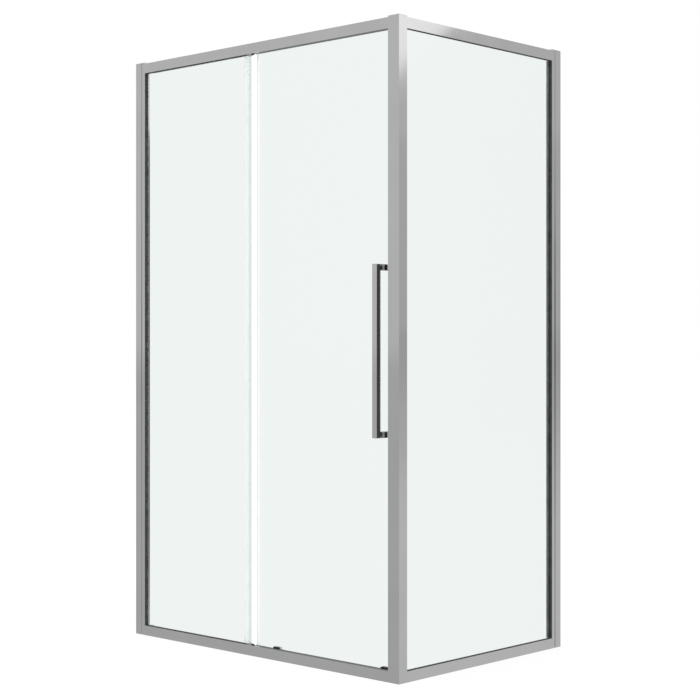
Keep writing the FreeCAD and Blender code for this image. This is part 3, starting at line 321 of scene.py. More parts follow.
def vector_node(tree, operation, *values):
    node = tree.nodes.new("ShaderNodeVectorMath")
    node.operation = operation
    for socket, value in zip(node.inputs, values):
        feed(tree, value, socket)
    return node.outputs["Value" if operation == "DOT_PRODUCT" else "Vector"]


def noise(tree, vector, scale, detail):
    node = tree.nodes.new("ShaderNodeTexNoise")
    node.inputs["Detail"].default_value = detail
    feed(tree, scale, node.inputs["Scale"])
    tree.links.new(vector, node.inputs["Vector"])
    return node.outputs["Fac"]


def ramp(tree, value, span, result=(0.0, 1.0)):
    """Map a span of the value smoothly to a result range, held at both ends."""
    node = tree.nodes.new("ShaderNodeMapRange")
    node.interpolation_type = "SMOOTHSTEP"
    for socket, number in zip(node.inputs, (value, *span, *result)):
        feed(tree, number, socket)
    return node.outputs[0]


def mix_value(tree, factor, first, second):
    node = tree.nodes.new("ShaderNodeMix")
    feed(tree, factor, node.inputs[0])
    feed(tree, first, node.inputs[2])
    feed(tree, second, node.inputs[3])
    return node.outputs[0]


def mix_colour(tree, factor, first, second):
    node = tree.nodes.new("ShaderNodeMix")
    node.data_type = "RGBA"
    feed(tree, factor, node.inputs[0])
    feed(tree, first, node.inputs[6])
    feed(tree, second, node.inputs[7])
    return node.outputs[2]


def shade(tree, colour, brightness):
    node = tree.nodes.new("ShaderNodeHueSaturation")
    feed(tree, brightness, node.inputs["Value"])
    feed(tree, colour, node.inputs["Color"])
    return node.outputs["Color"]


def object_position(tree):
    return tree.nodes.new("ShaderNodeTexCoord").outputs["Object"]


# Shader node groups, each built once and shared.


def new_group(name, inputs, outputs):
    """An empty node group with its sockets; an input is (name, socket type, default)."""
    group = bpy.data.node_groups.new(name, "ShaderNodeTree")
    for title, kind, default in inputs:
        socket = group.interface.new_socket(title, in_out="INPUT", socket_type=kind)
        socket.default_value = default
    for title, kind in outputs:
        group.interface.new_socket(title, in_out="OUTPUT", socket_type=kind)
    return group, group.nodes.new("NodeGroupInput"), group.nodes.new("NodeGroupOutput")


def drawn_metal_group():
    """Fine lines along a profile, with slow changes of tone and polish."""
    tree, source, result = new_group(
        "drawn_metal",
        [("Colour", "NodeSocketColor", (0.8, 0.8, 0.8, 1)), ("Stretch", "NodeSocketVector", (1, 1, 1)),
         ("Roughness", "NodeSocketFloat", 0.15)],
        [("Colour", "NodeSocketColor"), ("Roughness", "NodeSocketFloat"), ("Height", "NodeSocketFloat")])
    place = object_position(tree)
    stretched = vector_node(tree, "MULTIPLY", place, source.outputs["Stretch"])
    lines = noise(tree, stretched, scale=1.0, detail=3.0)
    patches = noise(tree, place, scale=7.0, detail=2.0)
    wear = noise(tree, place, scale=55.0, detail=4.0)
    blend = math_node(tree, "MULTIPLY_ADD", lines, 0.5, math_node(tree, "MULTIPLY", patches, 0.5))
    colour = shade(tree, source.outputs["Colour"], ramp(tree, blend, (0.35, 0.65), (0.965, 1.02)))
    dulled = math_node(tree, "ADD", ramp(tree, blend, (0.3, 0.7), (-0.01, 0.02)),
                       ramp(tree, wear, (0.62, 0.75), (0.0, 0.04)))
    roughness = math_node(tree, "ADD", source.outputs["Roughness"], dulled)
    tree.links.new(colour, result.inputs["Colour"])
    tree.links.new(roughness, result.inputs["Roughness"])
    tree.links.new(lines, result.inputs["Height"])
    return tree


def moulded_group():
    """Fine moulded grain with a slight change of tone."""
    tree, source, result = new_group(
        "moulded_grain",
        [("Colour", "NodeSocketColor", (0.5, 0.5, 0.5, 1)), ("Grain", "NodeSocketFloat", GRAIN_SCALE),
         ("Roughness", "NodeSocketFloat", 0.4), ("Tone", "NodeSocketFloat", 0.05)],
        [("Colour", "NodeSocketColor"), ("Roughness", "NodeSocketFloat"), ("Height", "NodeSocketFloat")])
    place = object_position(tree)
    grain = noise(tree, place, source.outputs["Grain"], detail=3.0)
    patches = noise(tree, place, scale=30.0, detail=2.0)
    darkest = math_node(tree, "SUBTRACT", 1.0, source.outputs["Tone"])
    lightest = math_node(tree, "ADD", 1.0, source.outputs["Tone"])
    colour = shade(tree, source.outputs["Colour"], ramp(tree, patches, (0.3, 0.7), (darkest, lightest)))
    uneven = ramp(tree, grain, (0.3, 0.7), (-0.05, 0.07))
    roughness = math_node(tree, "ADD", source.outputs["Roughness"], uneven)
    tree.links.new(colour, result.inputs["Colour"])
    tree.links.new(roughness, result.inputs["Roughness"])
    tree.links.new(grain, result.inputs["Height"])
    return tree


def pane_edge_group():
    """Face colour on a pane's two faces and edge colour round its rim; Across is the faces' direction."""
    tree, source, result = new_group(
        "pane_edge",
        [("Face", "NodeSocketColor", (1, 1, 1, 1)), ("Edge", "NodeSocketColor", (1, 1, 1, 1)),
         ("Across", "NodeSocketVector", (0, 1, 0))],
        [("Colour", "NodeSocketColor"), ("Rim", "NodeSocketFloat")])
    normal = tree.nodes.new("ShaderNodeTexCoord").outputs["Normal"]
    facing = math_node(tree, "ABSOLUTE", vector_node(tree, "DOT_PRODUCT", normal, source.outputs["Across"]))
    rim = ramp(tree, facing, (0.3, 0.9), (1.0, 0.0))
    clouds = noise(tree, object_position(tree), scale=4.0, detail=1.0)
    strength = math_node(tree, "MULTIPLY", rim, ramp(tree, clouds, (0.3, 0.7), (0.85, 1.0)))
    colour = mix_colour(tree, strength, source.outputs["Face"], source.outputs["Edge"])
    tree.links.new(colour, result.inputs["Colour"])
    tree.links.new(rim, result.inputs["Rim"])
    return tree


def shared_group(name, build):
    return bpy.data.node_groups.get(name) or build()


# Materials. Each function gives the same material again once it is made.


def surface(name, metallic=0.0):
    """A material and its Principled shader, or no shader where the material is there already."""
    title = f"{name}_finish"
    material = bpy.data.materials.get(title)
    if material:
        return material, None
    material = bpy.data.materials.new(title)
    material.use_nodes = True
    shader = material.node_tree.nodes["Principled BSDF"]
    shader.inputs["Metallic"].default_value = metallic
    return material, shader


def place_group(tree, group, values):
    effect = tree.nodes.new("ShaderNodeGroup")
    effect.node_tree = group
    for title, value in values.items():
        effect.inputs[title].default_value = value
    return effect


def textured(name, group, values, bump, metallic=0.0, **sockets):
    """A material whose colour, roughness and bump come from one of the shared groups."""
    material, shader = surface(name, metallic)
    if shader is None:
        return material
    tree = material.node_tree
    effect = place_group(tree, group, values)
    relief = tree.nodes.new("ShaderNodeBump")
    relief.inputs["Strength"].default_value = BUMP_STRENGTH
    relief.inputs["Distance"].default_value = bump
    tree.links.new(effect.outputs["Height"], relief.inputs["Height"])
    tree.links.new(effect.outputs["Colour"], shader.inputs["Base Color"])
    tree.links.new(effect.outputs["Roughness"], shader.inputs["Roughness"])
    tree.links.new(relief.outputs["Normal"], shader.inputs["Normal"])
    for title, value in sockets.items():
        shader.inputs[title.replace("_", " ")].default_value = value
    return material


def metal(name, colour, roughness, along="z"):
    values = {"Colour": (*colour, 1), "Roughness": roughness, "Stretch": STRETCH[along]}
    return textured(name, shared_group("drawn_metal", drawn_metal_group), values,
                    bump=settings().metal.line_depth, metallic=1.0)


def moulded(name, colour, roughness, tone=0.05, bump=0.00004, **sockets):
    values = {"Colour": (*colour, 1), "Roughness": roughness, "Tone": tone, "Grain": GRAIN_SCALE}
    return textured(name, shared_group("moulded_grain", moulded_group), values, bump, **sockets)


def rubber():
    return moulded("black_rubber", settings().trim.rubber, roughness=0.55, tone=0.15)


def inner_rubber(name, share):
    """Grey rubber behind a pane, lightened as painted light; share darkens a copy as painted shade, so one
    rubber comes in lit and shaded copies.
    """
    colour = [value * share for value in settings().trim.inner_rubber]
    return moulded(name, colour, roughness=0.45, tone=0.15)


def black_plastic():
    return moulded("black_plastic", (0.012, 0.012, 0.013), roughness=0.32, tone=0.1)


def white_nylon():
    return moulded("white_nylon", (0.9, 0.91, 0.9), roughness=0.35, tone=0.02)


def grey_plastic():
    return moulded("grey_plastic", (0.42, 0.43, 0.43), roughness=0.4)


def silver_plastic():
    return metal("silver_plastic", (0.885, 0.885, 0.89), roughness=0.1)


def steel():
    return metal("plated_steel", (0.62, 0.62, 0.63), roughness=0.28)


def milky_seal():
    # The emission is painted light: a faint glow that lightens the seal against the shade between the panes,
    # in place of light passing through it.
    return moulded("milky_seal", settings().trim.seal, roughness=0.42, tone=0.01, bump=0.00002,
                   Emission_Color=(1, 1, 1, 1), Emission_Strength=0.22)


def clear_seal():
    # The emission is painted light: a glow that keeps the clear seal pale against the shade between the
    # panes.
    return moulded("clear_seal", (0.96, 0.965, 0.965), roughness=0.3, tone=0.01, bump=0.00001,
                   Alpha=0.8, IOR=1.2, Emission_Color=(1, 1, 1, 1), Emission_Strength=0.33)


def pane_material(name, across):
    material, shader = surface(name)
    if shader is None:
        return material
    tree = material.node_tree
    glass = settings().glass
    effect = place_group(tree, shared_group("pane_edge", pane_edge_group), {
        "Face": (*glass.face, 1), "Edge": (*glass.edge, 1), "Across": across})
    rough = math_node(tree, "MULTIPLY", effect.outputs["Rim"], RIM_ROUGHNESS)
    tree.links.new(effect.outputs["Colour"], shader.inputs["Base Color"])
    tree.links.new(rough, shader.inputs["Roughness"])
    shader.inputs["Transmission Weight"].default_value = 1.0
    shader.inputs["IOR"].default_value = glass.refraction
    return material


# Mesh tools. Outlines are in millimetres from the same corner as the sizes above.


def rounded(outline, radius):
    """An outline with its corners rounded."""
    result = []
    count = len(outline)
    for index, corner in enumerate(outline):
        here = Vector(corner)
        before = Vector(outline[index - 1]) - here
        after = Vector(outline[(index + 1) % count]) - here
        reach = min(radius, before.length * CORNER_SHARE, after.length * CORNER_SHARE)
        start = here + before.normalized() * reach
        end = here + after.normalized() * reach
        for step in range(CORNER_STEPS + 1):
            share = step / CORNER_STEPS
            result.append(tuple(start.lerp(here, share).lerp(here.lerp(end, share), share)))
    return result


def box_outline(u_range, v_range):
    (u0, u1), (v0, v1) = u_range, v_range
    return [(u0, v0), (u1, v0), (u1, v1), (u0, v1)]


def at_side_wall(outline):
    """An outline at the front's wall, turned to the same place at the side panel's wall."""
    return [(WIDTH - v, DEPTH - u) for u, v in outline]


def channel_outline(leg_end, glass_edge, nose, outer, inner):
    """A U-shaped seal round a pane's edge, its legs beside the two faces and its nose past the edge."""
    return [(leg_end, outer - SEAL_WALL), (nose, outer - SEAL_WALL), (nose, inner + SEAL_WALL),
            (leg_end, inner + SEAL_WALL), (leg_end, inner + GLASS_PLAY), (glass_edge, inner + GLASS_PLAY),
            (glass_edge, outer - GLASS_PLAY), (leg_end, outer - GLASS_PLAY)]


def place_point(along, u, v, w):
    """Outline corner (u, v) at distance w along an axis."""
    order = {"X": (w, u, v), "Y": (u, w, v), "Z": (u, v, w)}
    return row(*order[along])


def add_prism(mesh, outline, along, start, end, bevel=0.0):
    """Extrude an outline along an axis, with its end edges eased."""
    near = [mesh.verts.new(place_point(along, u, v, start)) for u, v in outline]
    far = [mesh.verts.new(place_point(along, u, v, end)) for u, v in outline]
    ends = [mesh.faces.new(near), mesh.faces.new(far)]
    count = len(outline)
    for index in range(count):
        following = (index + 1) % count
        mesh.faces.new((near[index], near[following], far[following], far[index]))
    if bevel:
        edges = [edge for face in ends for edge in face.edges]
        bmesh.ops.bevel(mesh, geom=edges, offset=bevel / MM_PER_METRE, segments=BEVEL_SEGMENTS, profile=0.5,
                        affect="EDGES", clamp_overlap=True)


def add_lathe(mesh, profile, along, centre, segments=LATHE_SEGMENTS):
    """Turn a closed profile of (radius, position) about an axis; centre is given on the other two axes."""
    rings = []
    for radius, position in profile:
        ring = []
        for step in range(segments if radius else 1):
            angle = math.tau * step / segments
            u = centre[0] + radius * math.cos(angle)
            v = centre[1] + radius * math.sin(angle)
            ring.append(mesh.verts.new(place_point(along, u, v, position)))
        rings.append(ring)
    for ring, other in zip(rings, rings[1:] + rings[:1]):
        if len(ring) == 1 and len(other) == 1:
            continue
        for step in range(segments):
            corners = [ring[step % len(ring)], ring[(step + 1) % len(ring)],
                       other[(step + 1) % len(other)], other[step % len(other)]]
            mesh.faces.new(list(dict.fromkeys(corners)))


def mirrored(profile, total):
    """A turned profile, mirrored so that each position and its mirror add up to the total."""
    return [(radius, total - position) for radius, position in profile]


def inward(start, end):
    """Unit direction to the left of a run."""
    run = (Vector(end) - Vector(start)).normalized()
    return Vector((-run.y, run.x))


def add_bead(mesh, section, path, closed, to_row):
    """Sweep a gasket section round a pane with mitred corners.

    The section is (distance into the opening, depth); the path runs anticlockwise round the opening.
    """
    count = len(path)
    rings = []
    for index, (u, v) in enumerate(path):
        normals = []
        if closed or index > 0:
            normals.append(inward(path[index - 1], path[index]))
        if closed or index < count - 1:
            normals.append(inward(path[index], path[(index + 1) % count]))
        mitre = sum(normals, Vector((0, 0)))
        mitre /= mitre.dot(normals[0])
        rings.append([mesh.verts.new(to_row(u + mitre.x * inset, v + mitre.y * inset, depth))
                      for inset, depth in section])
    following_rings = rings[1:] + rings[:1] if closed else rings[1:]
    for ring, other in zip(rings, following_rings):
        for step in range(len(section)):
            following = (step + 1) % len(section)
            mesh.faces.new((ring[step], ring[following], other[following], other[step]))
    if not closed:
        mesh.faces.new(rings[0])
        mesh.faces.new(rings[-1])


def add_coil(mesh, x, y, low, high):
    """A round-wire compression spring, its end turns closed up."""
    total = COIL_TURNS * STEPS_PER_TURN
    rings = []
    for step in range(total + 1):
        share = step / total
        rise = share - COIL_CLOSING * math.sin(math.tau * share) / math.tau
        angle = math.tau * COIL_TURNS * share
        out = Vector((math.cos(angle), math.sin(angle), 0))
        height = low + COIL_WIRE + (high - low - 2 * COIL_WIRE) * rise
        centre = row(x, y, height) + out * COIL_RADIUS / MM_PER_METRE
        ring = []
        for side in range(WIRE_SIDES):
            turn = math.tau * side / WIRE_SIDES
            outward = out * math.cos(turn) + Vector((0, 0, math.sin(turn)))
            ring.append(mesh.verts.new(centre + outward * COIL_WIRE / MM_PER_METRE))
        rings.append(ring)
    for ring, other in zip(rings, rings[1:]):
        for side in range(WIRE_SIDES):
            following = (side + 1) % WIRE_SIDES
            mesh.faces.new((ring[side], ring[following], other[following], other[side]))
    mesh.faces.new(rings[0])
    mesh.faces.new(rings[-1])


def finish_piece(name, mesh, material, body, replaced=()):
    """Turn a built mesh into a shown piece that rides on a body."""
    bmesh.ops.recalc_face_normals(mesh, faces=mesh.faces)
    data = bpy.data.meshes.new(name)
    mesh.to_mesh(data)
    mesh.free()
    if not data.polygons:
        raise RuntimeError(f"{name} has no faces")
    data.polygons.foreach_set("use_smooth", [True] * len(data.polygons))
    data.set_sharp_from_angle(angle=math.radians(SHARP_ANGLE))
    data.materials.append(material)
    piece = bpy.data.objects.new(name, data)
    bpy.context.scene.collection.objects.link(piece)
    piece.modifiers.new("flat_faces_stay_flat", "WEIGHTED_NORMAL").keep_sharp = True
    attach(piece, body)
    if replaced:
        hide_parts(*replaced)
    return piece


def dress(node, material):
    """Give a CAD node its material."""
    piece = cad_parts[node]
    if not piece.material_slots:
        raise RuntimeError(f"{node} has no material slot")
    for slot in piece.material_slots:
        slot.material = material


# Operators, one for each group of like pieces.


class ENCLOSURE_OT_profiles(bpy.types.Operator):
    """Polish the extruded profiles along their own direction"""

    bl_idname = "enclosure.profiles"
    bl_label = "Profiles"
    bl_options = {"REGISTER", "UNDO"}

    def execute(self, context):
        finish = settings().metal
        for along, nodes in EXTRUSIONS.items():
            material = metal(f"polished_aluminium_{along}", finish.colour, finish.roughness, along)
            for node in nodes:
                dress(node, material)
        return {"FINISHED"}


class ENCLOSURE_OT_caps(bpy.types.Operator):
    """Build the end caps of the uprights, with eased edges and pegs below"""

    bl_idname = "enclosure.caps"
    bl_label = "Caps"
    bl_options = {"REGISTER", "UNDO"}

    def execute(self, context):
        round_over = settings().trim.cap_round * MM_PER_METRE
        wall_cap = box_outline((0, JAMB_EDGE), (0, WALL_PROFILE_DEPTH))
        wall_peg = box_outline((PEG_INSET, PEG_INSET + WALL_PEG_WIDTH),
                               (PEG_INSET, WALL_PROFILE_DEPTH - PEG_INSET))
        post_cap = [(POST_LEFT, 0), (WIDTH, 0), (WIDTH, POST_SIDE), (POST_INNER_FACE, POST_SIDE),
                    (POST_INNER_FACE, FRONT_RAIL_DEPTH), (POST_LEFT, FRONT_RAIL_DEPTH)]
        post_peg = box_outline((POST_LEFT + PEG_INSET, WIDTH - PEG_INSET), (PEG_INSET, POST_PEG_BACK))
        for name, outline, peg in (
            ("front_wall_cap", wall_cap, wall_peg),
            ("corner_post_cap", post_cap, post_peg),
            ("side_wall_cap", at_side_wall(wall_cap), at_side_wall(wall_peg)),
        ):
            mesh = bmesh.new()
            # Faces added after a bevel take another order in each run, so the peg comes first.
            add_prism(mesh, rounded(peg, radius=0.6), "Z", PEG_BOTTOM, FRAME_TOP + PEG_OVERLAP)
            add_prism(mesh, rounded(outline, radius=1.0), "Z", FRAME_TOP, CAP_TOP, round_over)
            finish_piece(f"{name}_rounded", mesh, silver_plastic(), "frame", [name])
        return {"FINISHED"}


def front_place(u, v, depth):
    return row(u, depth, v)


def side_place(u, v, depth):
    return row(WIDTH - depth, u, v)


class ENCLOSURE_OT_gaskets(bpy.types.Operator):
    """Build the outer and inner glazing gaskets, mitred at the corners"""

    bl_idname = "enclosure.gaskets"
    bl_label = "Gaskets"
    bl_options = {"REGISTER", "UNDO"}

    def execute(self, context):
        bead = settings().trim.bead * MM_PER_METRE
        outer = [(GASKET_ROOT, OUTER_GASKET_FRONT), (0.1, OUTER_GASKET_FRONT), (0.1, 1.0), (bead * 0.5, 0.5),
                 (bead, 1.4), (bead, 9.2), (bead * 0.8, OUTER_GASKET_BACK), (GASKET_ROOT, OUTER_GASKET_BACK)]
        inner = [(GASKET_ROOT, INNER_GASKET_FRONT), (bead * 0.9, INNER_GASKET_FRONT), (bead, 16.4),
                 (bead * 0.6, 16.9), (-0.2, 16.9), (-0.4, INNER_GASKET_BACK),
                 (GASKET_ROOT, INNER_GASKET_BACK)]
        recessed = box_outline((GASKET_ROOT, -0.3), (INNER_GASKET_FRONT, INNER_GASKET_BACK))
        clip_edge = CLIP_RUN[0] - GASKET_TO_CLIP
        back = DEPTH - JAMB_EDGE
        front_path = [(clip_edge, HEADER_BOTTOM), (JAMB_EDGE, HEADER_BOTTOM), (JAMB_EDGE, SILL_TOP),
                      (clip_edge, SILL_TOP)]
        side_path = box_outline((POST_SIDE, back), (SILL_TOP, HEADER_BOTTOM))
        # The last column is painted shade: the fixed pane's inner gasket keeps the full lightened grey and
        # the side pane's is darkened to 0.35.
        for pane, path, closed, to_row, inner_section, painted_shade_share in (
            ("fixed_glass", front_path, False, front_place, inner, 1.0),
            ("side_glass", side_path, True, side_place, recessed, 0.35),
        ):
            mesh = bmesh.new()
            add_bead(mesh, outer, path, closed, to_row)
            name = f"{pane}_outer_gasket"
            finish_piece(f"{name}_bead", mesh, rubber(), "frame", [name])
            mesh = bmesh.new()
            add_bead(mesh, inner_section, path, closed, to_row)
            if pane == "side_glass":
                self.add_side_lip(mesh, back, bead)
            name = f"{pane}_inner_gasket"
            material = inner_rubber(f"{name}_rubber", painted_shade_share)
            finish_piece(f"{name}_bead", mesh, material, "frame", [name])
        return {"FINISHED"}

    @staticmethod
    def add_side_lip(mesh, back, bead):
        """The inner gasket's lip over the inside of the side jamb's edge."""
        front = back - bead
        lip = [(SIDE_LIP_OUTER, back + 0.3), (SIDE_LIP_OUTER, front), (SIDE_LIP_INNER, front),
               (SIDE_LIP_INNER, back - 0.1), (1182.2, back - 0.1), (1182.2, back + 0.3)]
        add_prism(mesh, rounded(lip, radius=0.2), "Z",
                  SILL_TOP + SIDE_LIP_END_GAP, HEADER_BOTTOM - SIDE_LIP_END_GAP)


class ENCLOSURE_OT_panes(bpy.types.Operator):
    """Make the panes clear glass with a green rim"""

    bl_idname = "enclosure.panes"
    bl_label = "Panes"
    bl_options = {"REGISTER", "UNDO"}

    def execute(self, context):
        front = pane_material("clear_glass_front", across=(0, 1, 0))
        dress("fixed_glass", front)
        dress("door_glass", front)
        dress("side_glass", pane_material("clear_glass_side", across=(1, 0, 0)))
        dress("glass_setting_blocks", rubber())
        return {"FINISHED"}


class ENCLOSURE_OT_seals(bpy.types.Operator):
    """Build the seals of the fixed pane and the door, and the magnetic strip"""

    bl_idname = "enclosure.seals"
    bl_label = "Seals"
    bl_options = {"REGISTER", "UNDO"}

    def execute(self, context):
        self.build_fixed_pane_seals()
        self.build_door_seals()
        self.build_magnet_strip()
        return {"FINISHED"}

    @staticmethod
    def build_fixed_pane_seals():
        low, high = SILL_TOP + CLIP_SHOW, HEADER_BOTTOM - CLIP_SHOW
        channel = channel_outline(EDGE_CHANNEL_START, PANE_EDGE, PANE_EDGE + EDGE_CHANNEL_NOSE,
                                  PANE_OUTER, PANE_INNER)
        beside_clip = [(max(x, CLIP_RUN[1] + EDGE_CHANNEL_TO_CLIP), y) for x, y in channel]
        mesh = bmesh.new()
        for outline, start, end in (
            (channel, low, high),
            (beside_clip, SILL_TOP + EDGE_CHANNEL_END_GAP, low),
            (beside_clip, high, HEADER_BOTTOM - EDGE_CHANNEL_END_GAP),
        ):
            add_prism(mesh, rounded(outline, radius=0.45), "Z", start, end)
        finish_piece("fixed_glass_edge_channel", mesh, milky_seal(), "frame",
                     ["fixed_glass_edge_seal"])
        mesh = bmesh.new()
        add_prism(mesh, rounded(WIPER_FIN, radius=0.4), "Z", low, high)
        finish_piece("fixed_glass_wiper_fin", mesh, clear_seal(), "frame")

    @staticmethod
    def build_door_seals():
        low, high = SILL_TOP + DOOR_SEAL_END_GAP, HEADER_BOTTOM - DOOR_SEAL_END_GAP
        leg_end, glass_edge = DOOR_LEFT + HOOK_LEG, DOOR_LEFT + GLASS_PLAY
        hook = [(leg_end, DOOR_OUTER - GLASS_PLAY), (glass_edge, DOOR_OUTER - GLASS_PLAY),
                (glass_edge, DOOR_INNER + GLASS_PLAY), (leg_end, DOOR_INNER + GLASS_PLAY),
                (leg_end, DOOR_INNER + SEAL_WALL), (DOOR_LEFT - HOOK_NOSE, DOOR_INNER + SEAL_WALL),
                *HOOK_FIN, (leg_end, DOOR_OUTER - SEAL_WALL)]
        mesh = bmesh.new()
        add_prism(mesh, rounded(hook, radius=0.45), "Z", low, high)
        finish_piece("door_trailing_hook", mesh, clear_seal(), "door", ["door_trailing_seal"])
        channel = channel_outline(DOOR_RIGHT - LEADING_LEG, DOOR_RIGHT, DOOR_RIGHT + LEADING_NOSE,
                                  DOOR_OUTER, DOOR_INNER)
        mesh = bmesh.new()
        add_prism(mesh, rounded(channel, radius=0.4), "Z", low, high)
        finish_piece("door_leading_channel", mesh, rubber(), "door", ["door_leading_seal"])

    @staticmethod
    def build_magnet_strip():
        low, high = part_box("post_magnet_strip")
        strip = box_outline((low.x * MM_PER_METRE + ORIGIN_X, high.x * MM_PER_METRE + ORIGIN_X),
                            (low.y * MM_PER_METRE + ORIGIN_Y, high.y * MM_PER_METRE + ORIGIN_Y))
        mesh = bmesh.new()
        add_prism(mesh, rounded(strip, radius=0.6), "Z", SILL_TOP, HEADER_BOTTOM)
        finish_piece("post_magnet_strip_soft", mesh, milky_seal(), "frame",
                     ["post_magnet_strip"])


class ENCLOSURE_OT_clips(bpy.types.Operator):
    """Build the corner clips of the fixed pane, half grey and half black"""

    bl_idname = "enclosure.clips"
    bl_label = "Corner clips"
    bl_options = {"REGISTER", "UNDO"}

    def execute(self, context):
        halves = (
            ("holder", (CLIP_RUN[0], CLIP_JOINT), grey_plastic()),
            ("pad", (CLIP_JOINT + CLIP_JOINT_GAP, CLIP_RUN[1]), black_plastic()),
        )
        inner_face, outer_face = PANE_INNER + GLASS_PLAY, PANE_OUTER - GLASS_PLAY
        for node, root, glass_end, tip in (
            ("fixed_glass_bottom_clip", POCKET_BOTTOM, PANE_BOTTOM - GLASS_PLAY, SILL_TOP + CLIP_SHOW),
            ("fixed_glass_top_clip", POCKET_TOP, PANE_TOP + GLASS_PLAY, HEADER_BOTTOM - CLIP_SHOW),
        ):
            section = [(PANE_OUTER - CLIP_LEG, root), (PANE_INNER + CLIP_LEG, root),
                       (PANE_INNER + CLIP_TIP, tip), (inner_face, tip), (inner_face, glass_end),
                       (outer_face, glass_end), (outer_face, tip), (PANE_OUTER - CLIP_LEG, tip)]
            for half, (start, end), material in halves:
                mesh = bmesh.new()
                add_prism(mesh, rounded(section, radius=0.35), "X", start, end, bevel=0.3)
                replaced = [node] if half == "holder" else ()
                finish_piece(f"{node}_{half}", mesh, material, "frame", replaced)
        return {"FINISHED"}


class ENCLOSURE_OT_handles(bpy.types.Operator):
    """Chrome the handles and seat them on soft washers"""

    bl_idname = "enclosure.handles"
    bl_label = "Handles"
    bl_options = {"REGISTER", "UNDO"}

    def execute(self, context):
        chrome = metal("handle_chrome", settings().metal.handle_colour, roughness=0.08)
        dress("outer_handle", chrome)
        dress("inner_handle", chrome)
        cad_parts["outer_handle"].visible_glossy = False
        mesh = bmesh.new()
        for height in STUD_HEIGHTS:
            for washer in (WASHER, mirrored(WASHER, DOOR_OUTER + DOOR_INNER)):
                add_lathe(mesh, washer, "Y", (STUD_X, height))
        finish_piece("handle_washers_soft", mesh, grey_plastic(), "door", ["handle_washers"])
        return {"FINISHED"}


class ENCLOSURE_OT_rollers(bpy.types.Operator):
    """Build the rollers, their bolts, nuts and sleeves"""

    bl_idname = "enclosure.rollers"
    bl_label = "Rollers"
    bl_options = {"REGISTER", "UNDO"}

    def execute(self, context):
        nuts = bmesh.new()
        sleeves = bmesh.new()
        for side, x in FITTINGS.items():
            centre = (x, ROLLER_HEIGHT)
            mesh = bmesh.new()
            add_lathe(mesh, WHEEL, "Y", centre, segments=56)
            finish_piece(f"{side}_roller_tyre", mesh, white_nylon(), f"{side}_roller",
                         [f"{side}_roller_wheel"])
            mesh = bmesh.new()
            add_lathe(mesh, BOLT, "Y", centre, segments=48)
            finish_piece(f"{side}_roller_bolt_domed", mesh, steel(), "door", [f"{side}_roller_bolt"])
            turns = [math.tau * corner / NUT_SIDES for corner in range(NUT_SIDES)]
            hexagon = [(x + NUT_RADIUS * math.cos(turn), ROLLER_HEIGHT + NUT_RADIUS * math.sin(turn))
                       for turn in turns]
            add_prism(nuts, rounded(hexagon, radius=0.5), "Y", *NUT_RUN, bevel=0.35)
            add_lathe(sleeves, SLEEVE, "Y", centre)
        finish_piece("roller_nuts_chamfered", nuts, steel(), "door", ["roller_nuts"])
        finish_piece("roller_sleeves_eased", sleeves, grey_plastic(), "door",
                     ["roller_sleeves"])
        return {"FINISHED"}


class ENCLOSURE_OT_guides(bpy.types.Operator):
    """Build the guide clamps, screws and springs at the foot of the door"""

    bl_idname = "enclosure.guides"
    bl_label = "Guides"
    bl_options = {"REGISTER", "UNDO"}

    def execute(self, context):
        screws = bmesh.new()
        for side, x in FITTINGS.items():
            self.build_clamp(side, x)
            dress(f"{side}_guide_housing", white_nylon())
            dress(f"{side}_guide_plunger", black_plastic())
            mesh = bmesh.new()
            add_coil(mesh, x, COIL_DEPTH, COIL_BOTTOM, COIL_TOP)
            spring = finish_piece(f"{side}_guide_coil", mesh, steel(), "door",
                                  [f"{side}_guide_spring"])
            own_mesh(spring)
            for across in (x - GUIDE_SCREW_OFFSET, x + GUIDE_SCREW_OFFSET):
                add_lathe(screws, GUIDE_SCREW, "Y", (across, GUIDE_SCREW_HEIGHT), segments=32)
        finish_piece("guide_screws_domed", screws, steel(), "door", ["guide_screws"])
        return {"FINISHED"}

    @staticmethod
    def build_clamp(side, x):
        left, right = x - CLAMP_WING, x + CLAMP_WING
        tower_left, tower_right = x - CLAMP_TOWER, x + CLAMP_TOWER
        outline = [(left, CLAMP_BOTTOM), (right, CLAMP_BOTTOM), (right, CLAMP_WING_TOP),
                   (tower_right, CLAMP_WING_TOP), (tower_right, CLAMP_TOP), (tower_left, CLAMP_TOP),
                   (tower_left, CLAMP_WING_TOP), (left, CLAMP_WING_TOP)]
        mesh = bmesh.new()
        add_prism(mesh, rounded(outline, radius=1.6), "Y", *CLAMP_RUN, bevel=0.5)
        finish_piece(f"{side}_guide_clamp_eased", mesh, black_plastic(), "door",
                     [f"{side}_guide_clamp"])


class ENCLOSURE_OT_fasteners(bpy.types.Operator):
    """Build the cover caps and finish the remaining small pieces"""

    bl_idname = "enclosure.fasteners"
    bl_label = "Fasteners and stops"
    bl_options = {"REGISTER", "UNDO"}

    def execute(self, context):
        for node in STEEL_NODES:
            dress(node, steel())
        dress("door_bumpers", rubber())
        infill = metal("infill_strip", settings().metal.colour, roughness=0.2, along="x")
        dress("pocket_infill_strips", infill)
        for node in ("header_end_plug", "sill_end_plug"):
            dress(node, grey_plastic())
        mesh = bmesh.new()
        for height in COVER_HEIGHTS:
            add_lathe(mesh, COVER, "Y", (COVER_SETBACK, height))
            add_lathe(mesh, mirrored(COVER, WIDTH), "X", (DEPTH - COVER_SETBACK, height))
        finish_piece("jamb_screw_covers_domed", mesh, silver_plastic(), "frame",
                     ["jamb_screw_covers"])
        return {"FINISHED"}


# The studio.


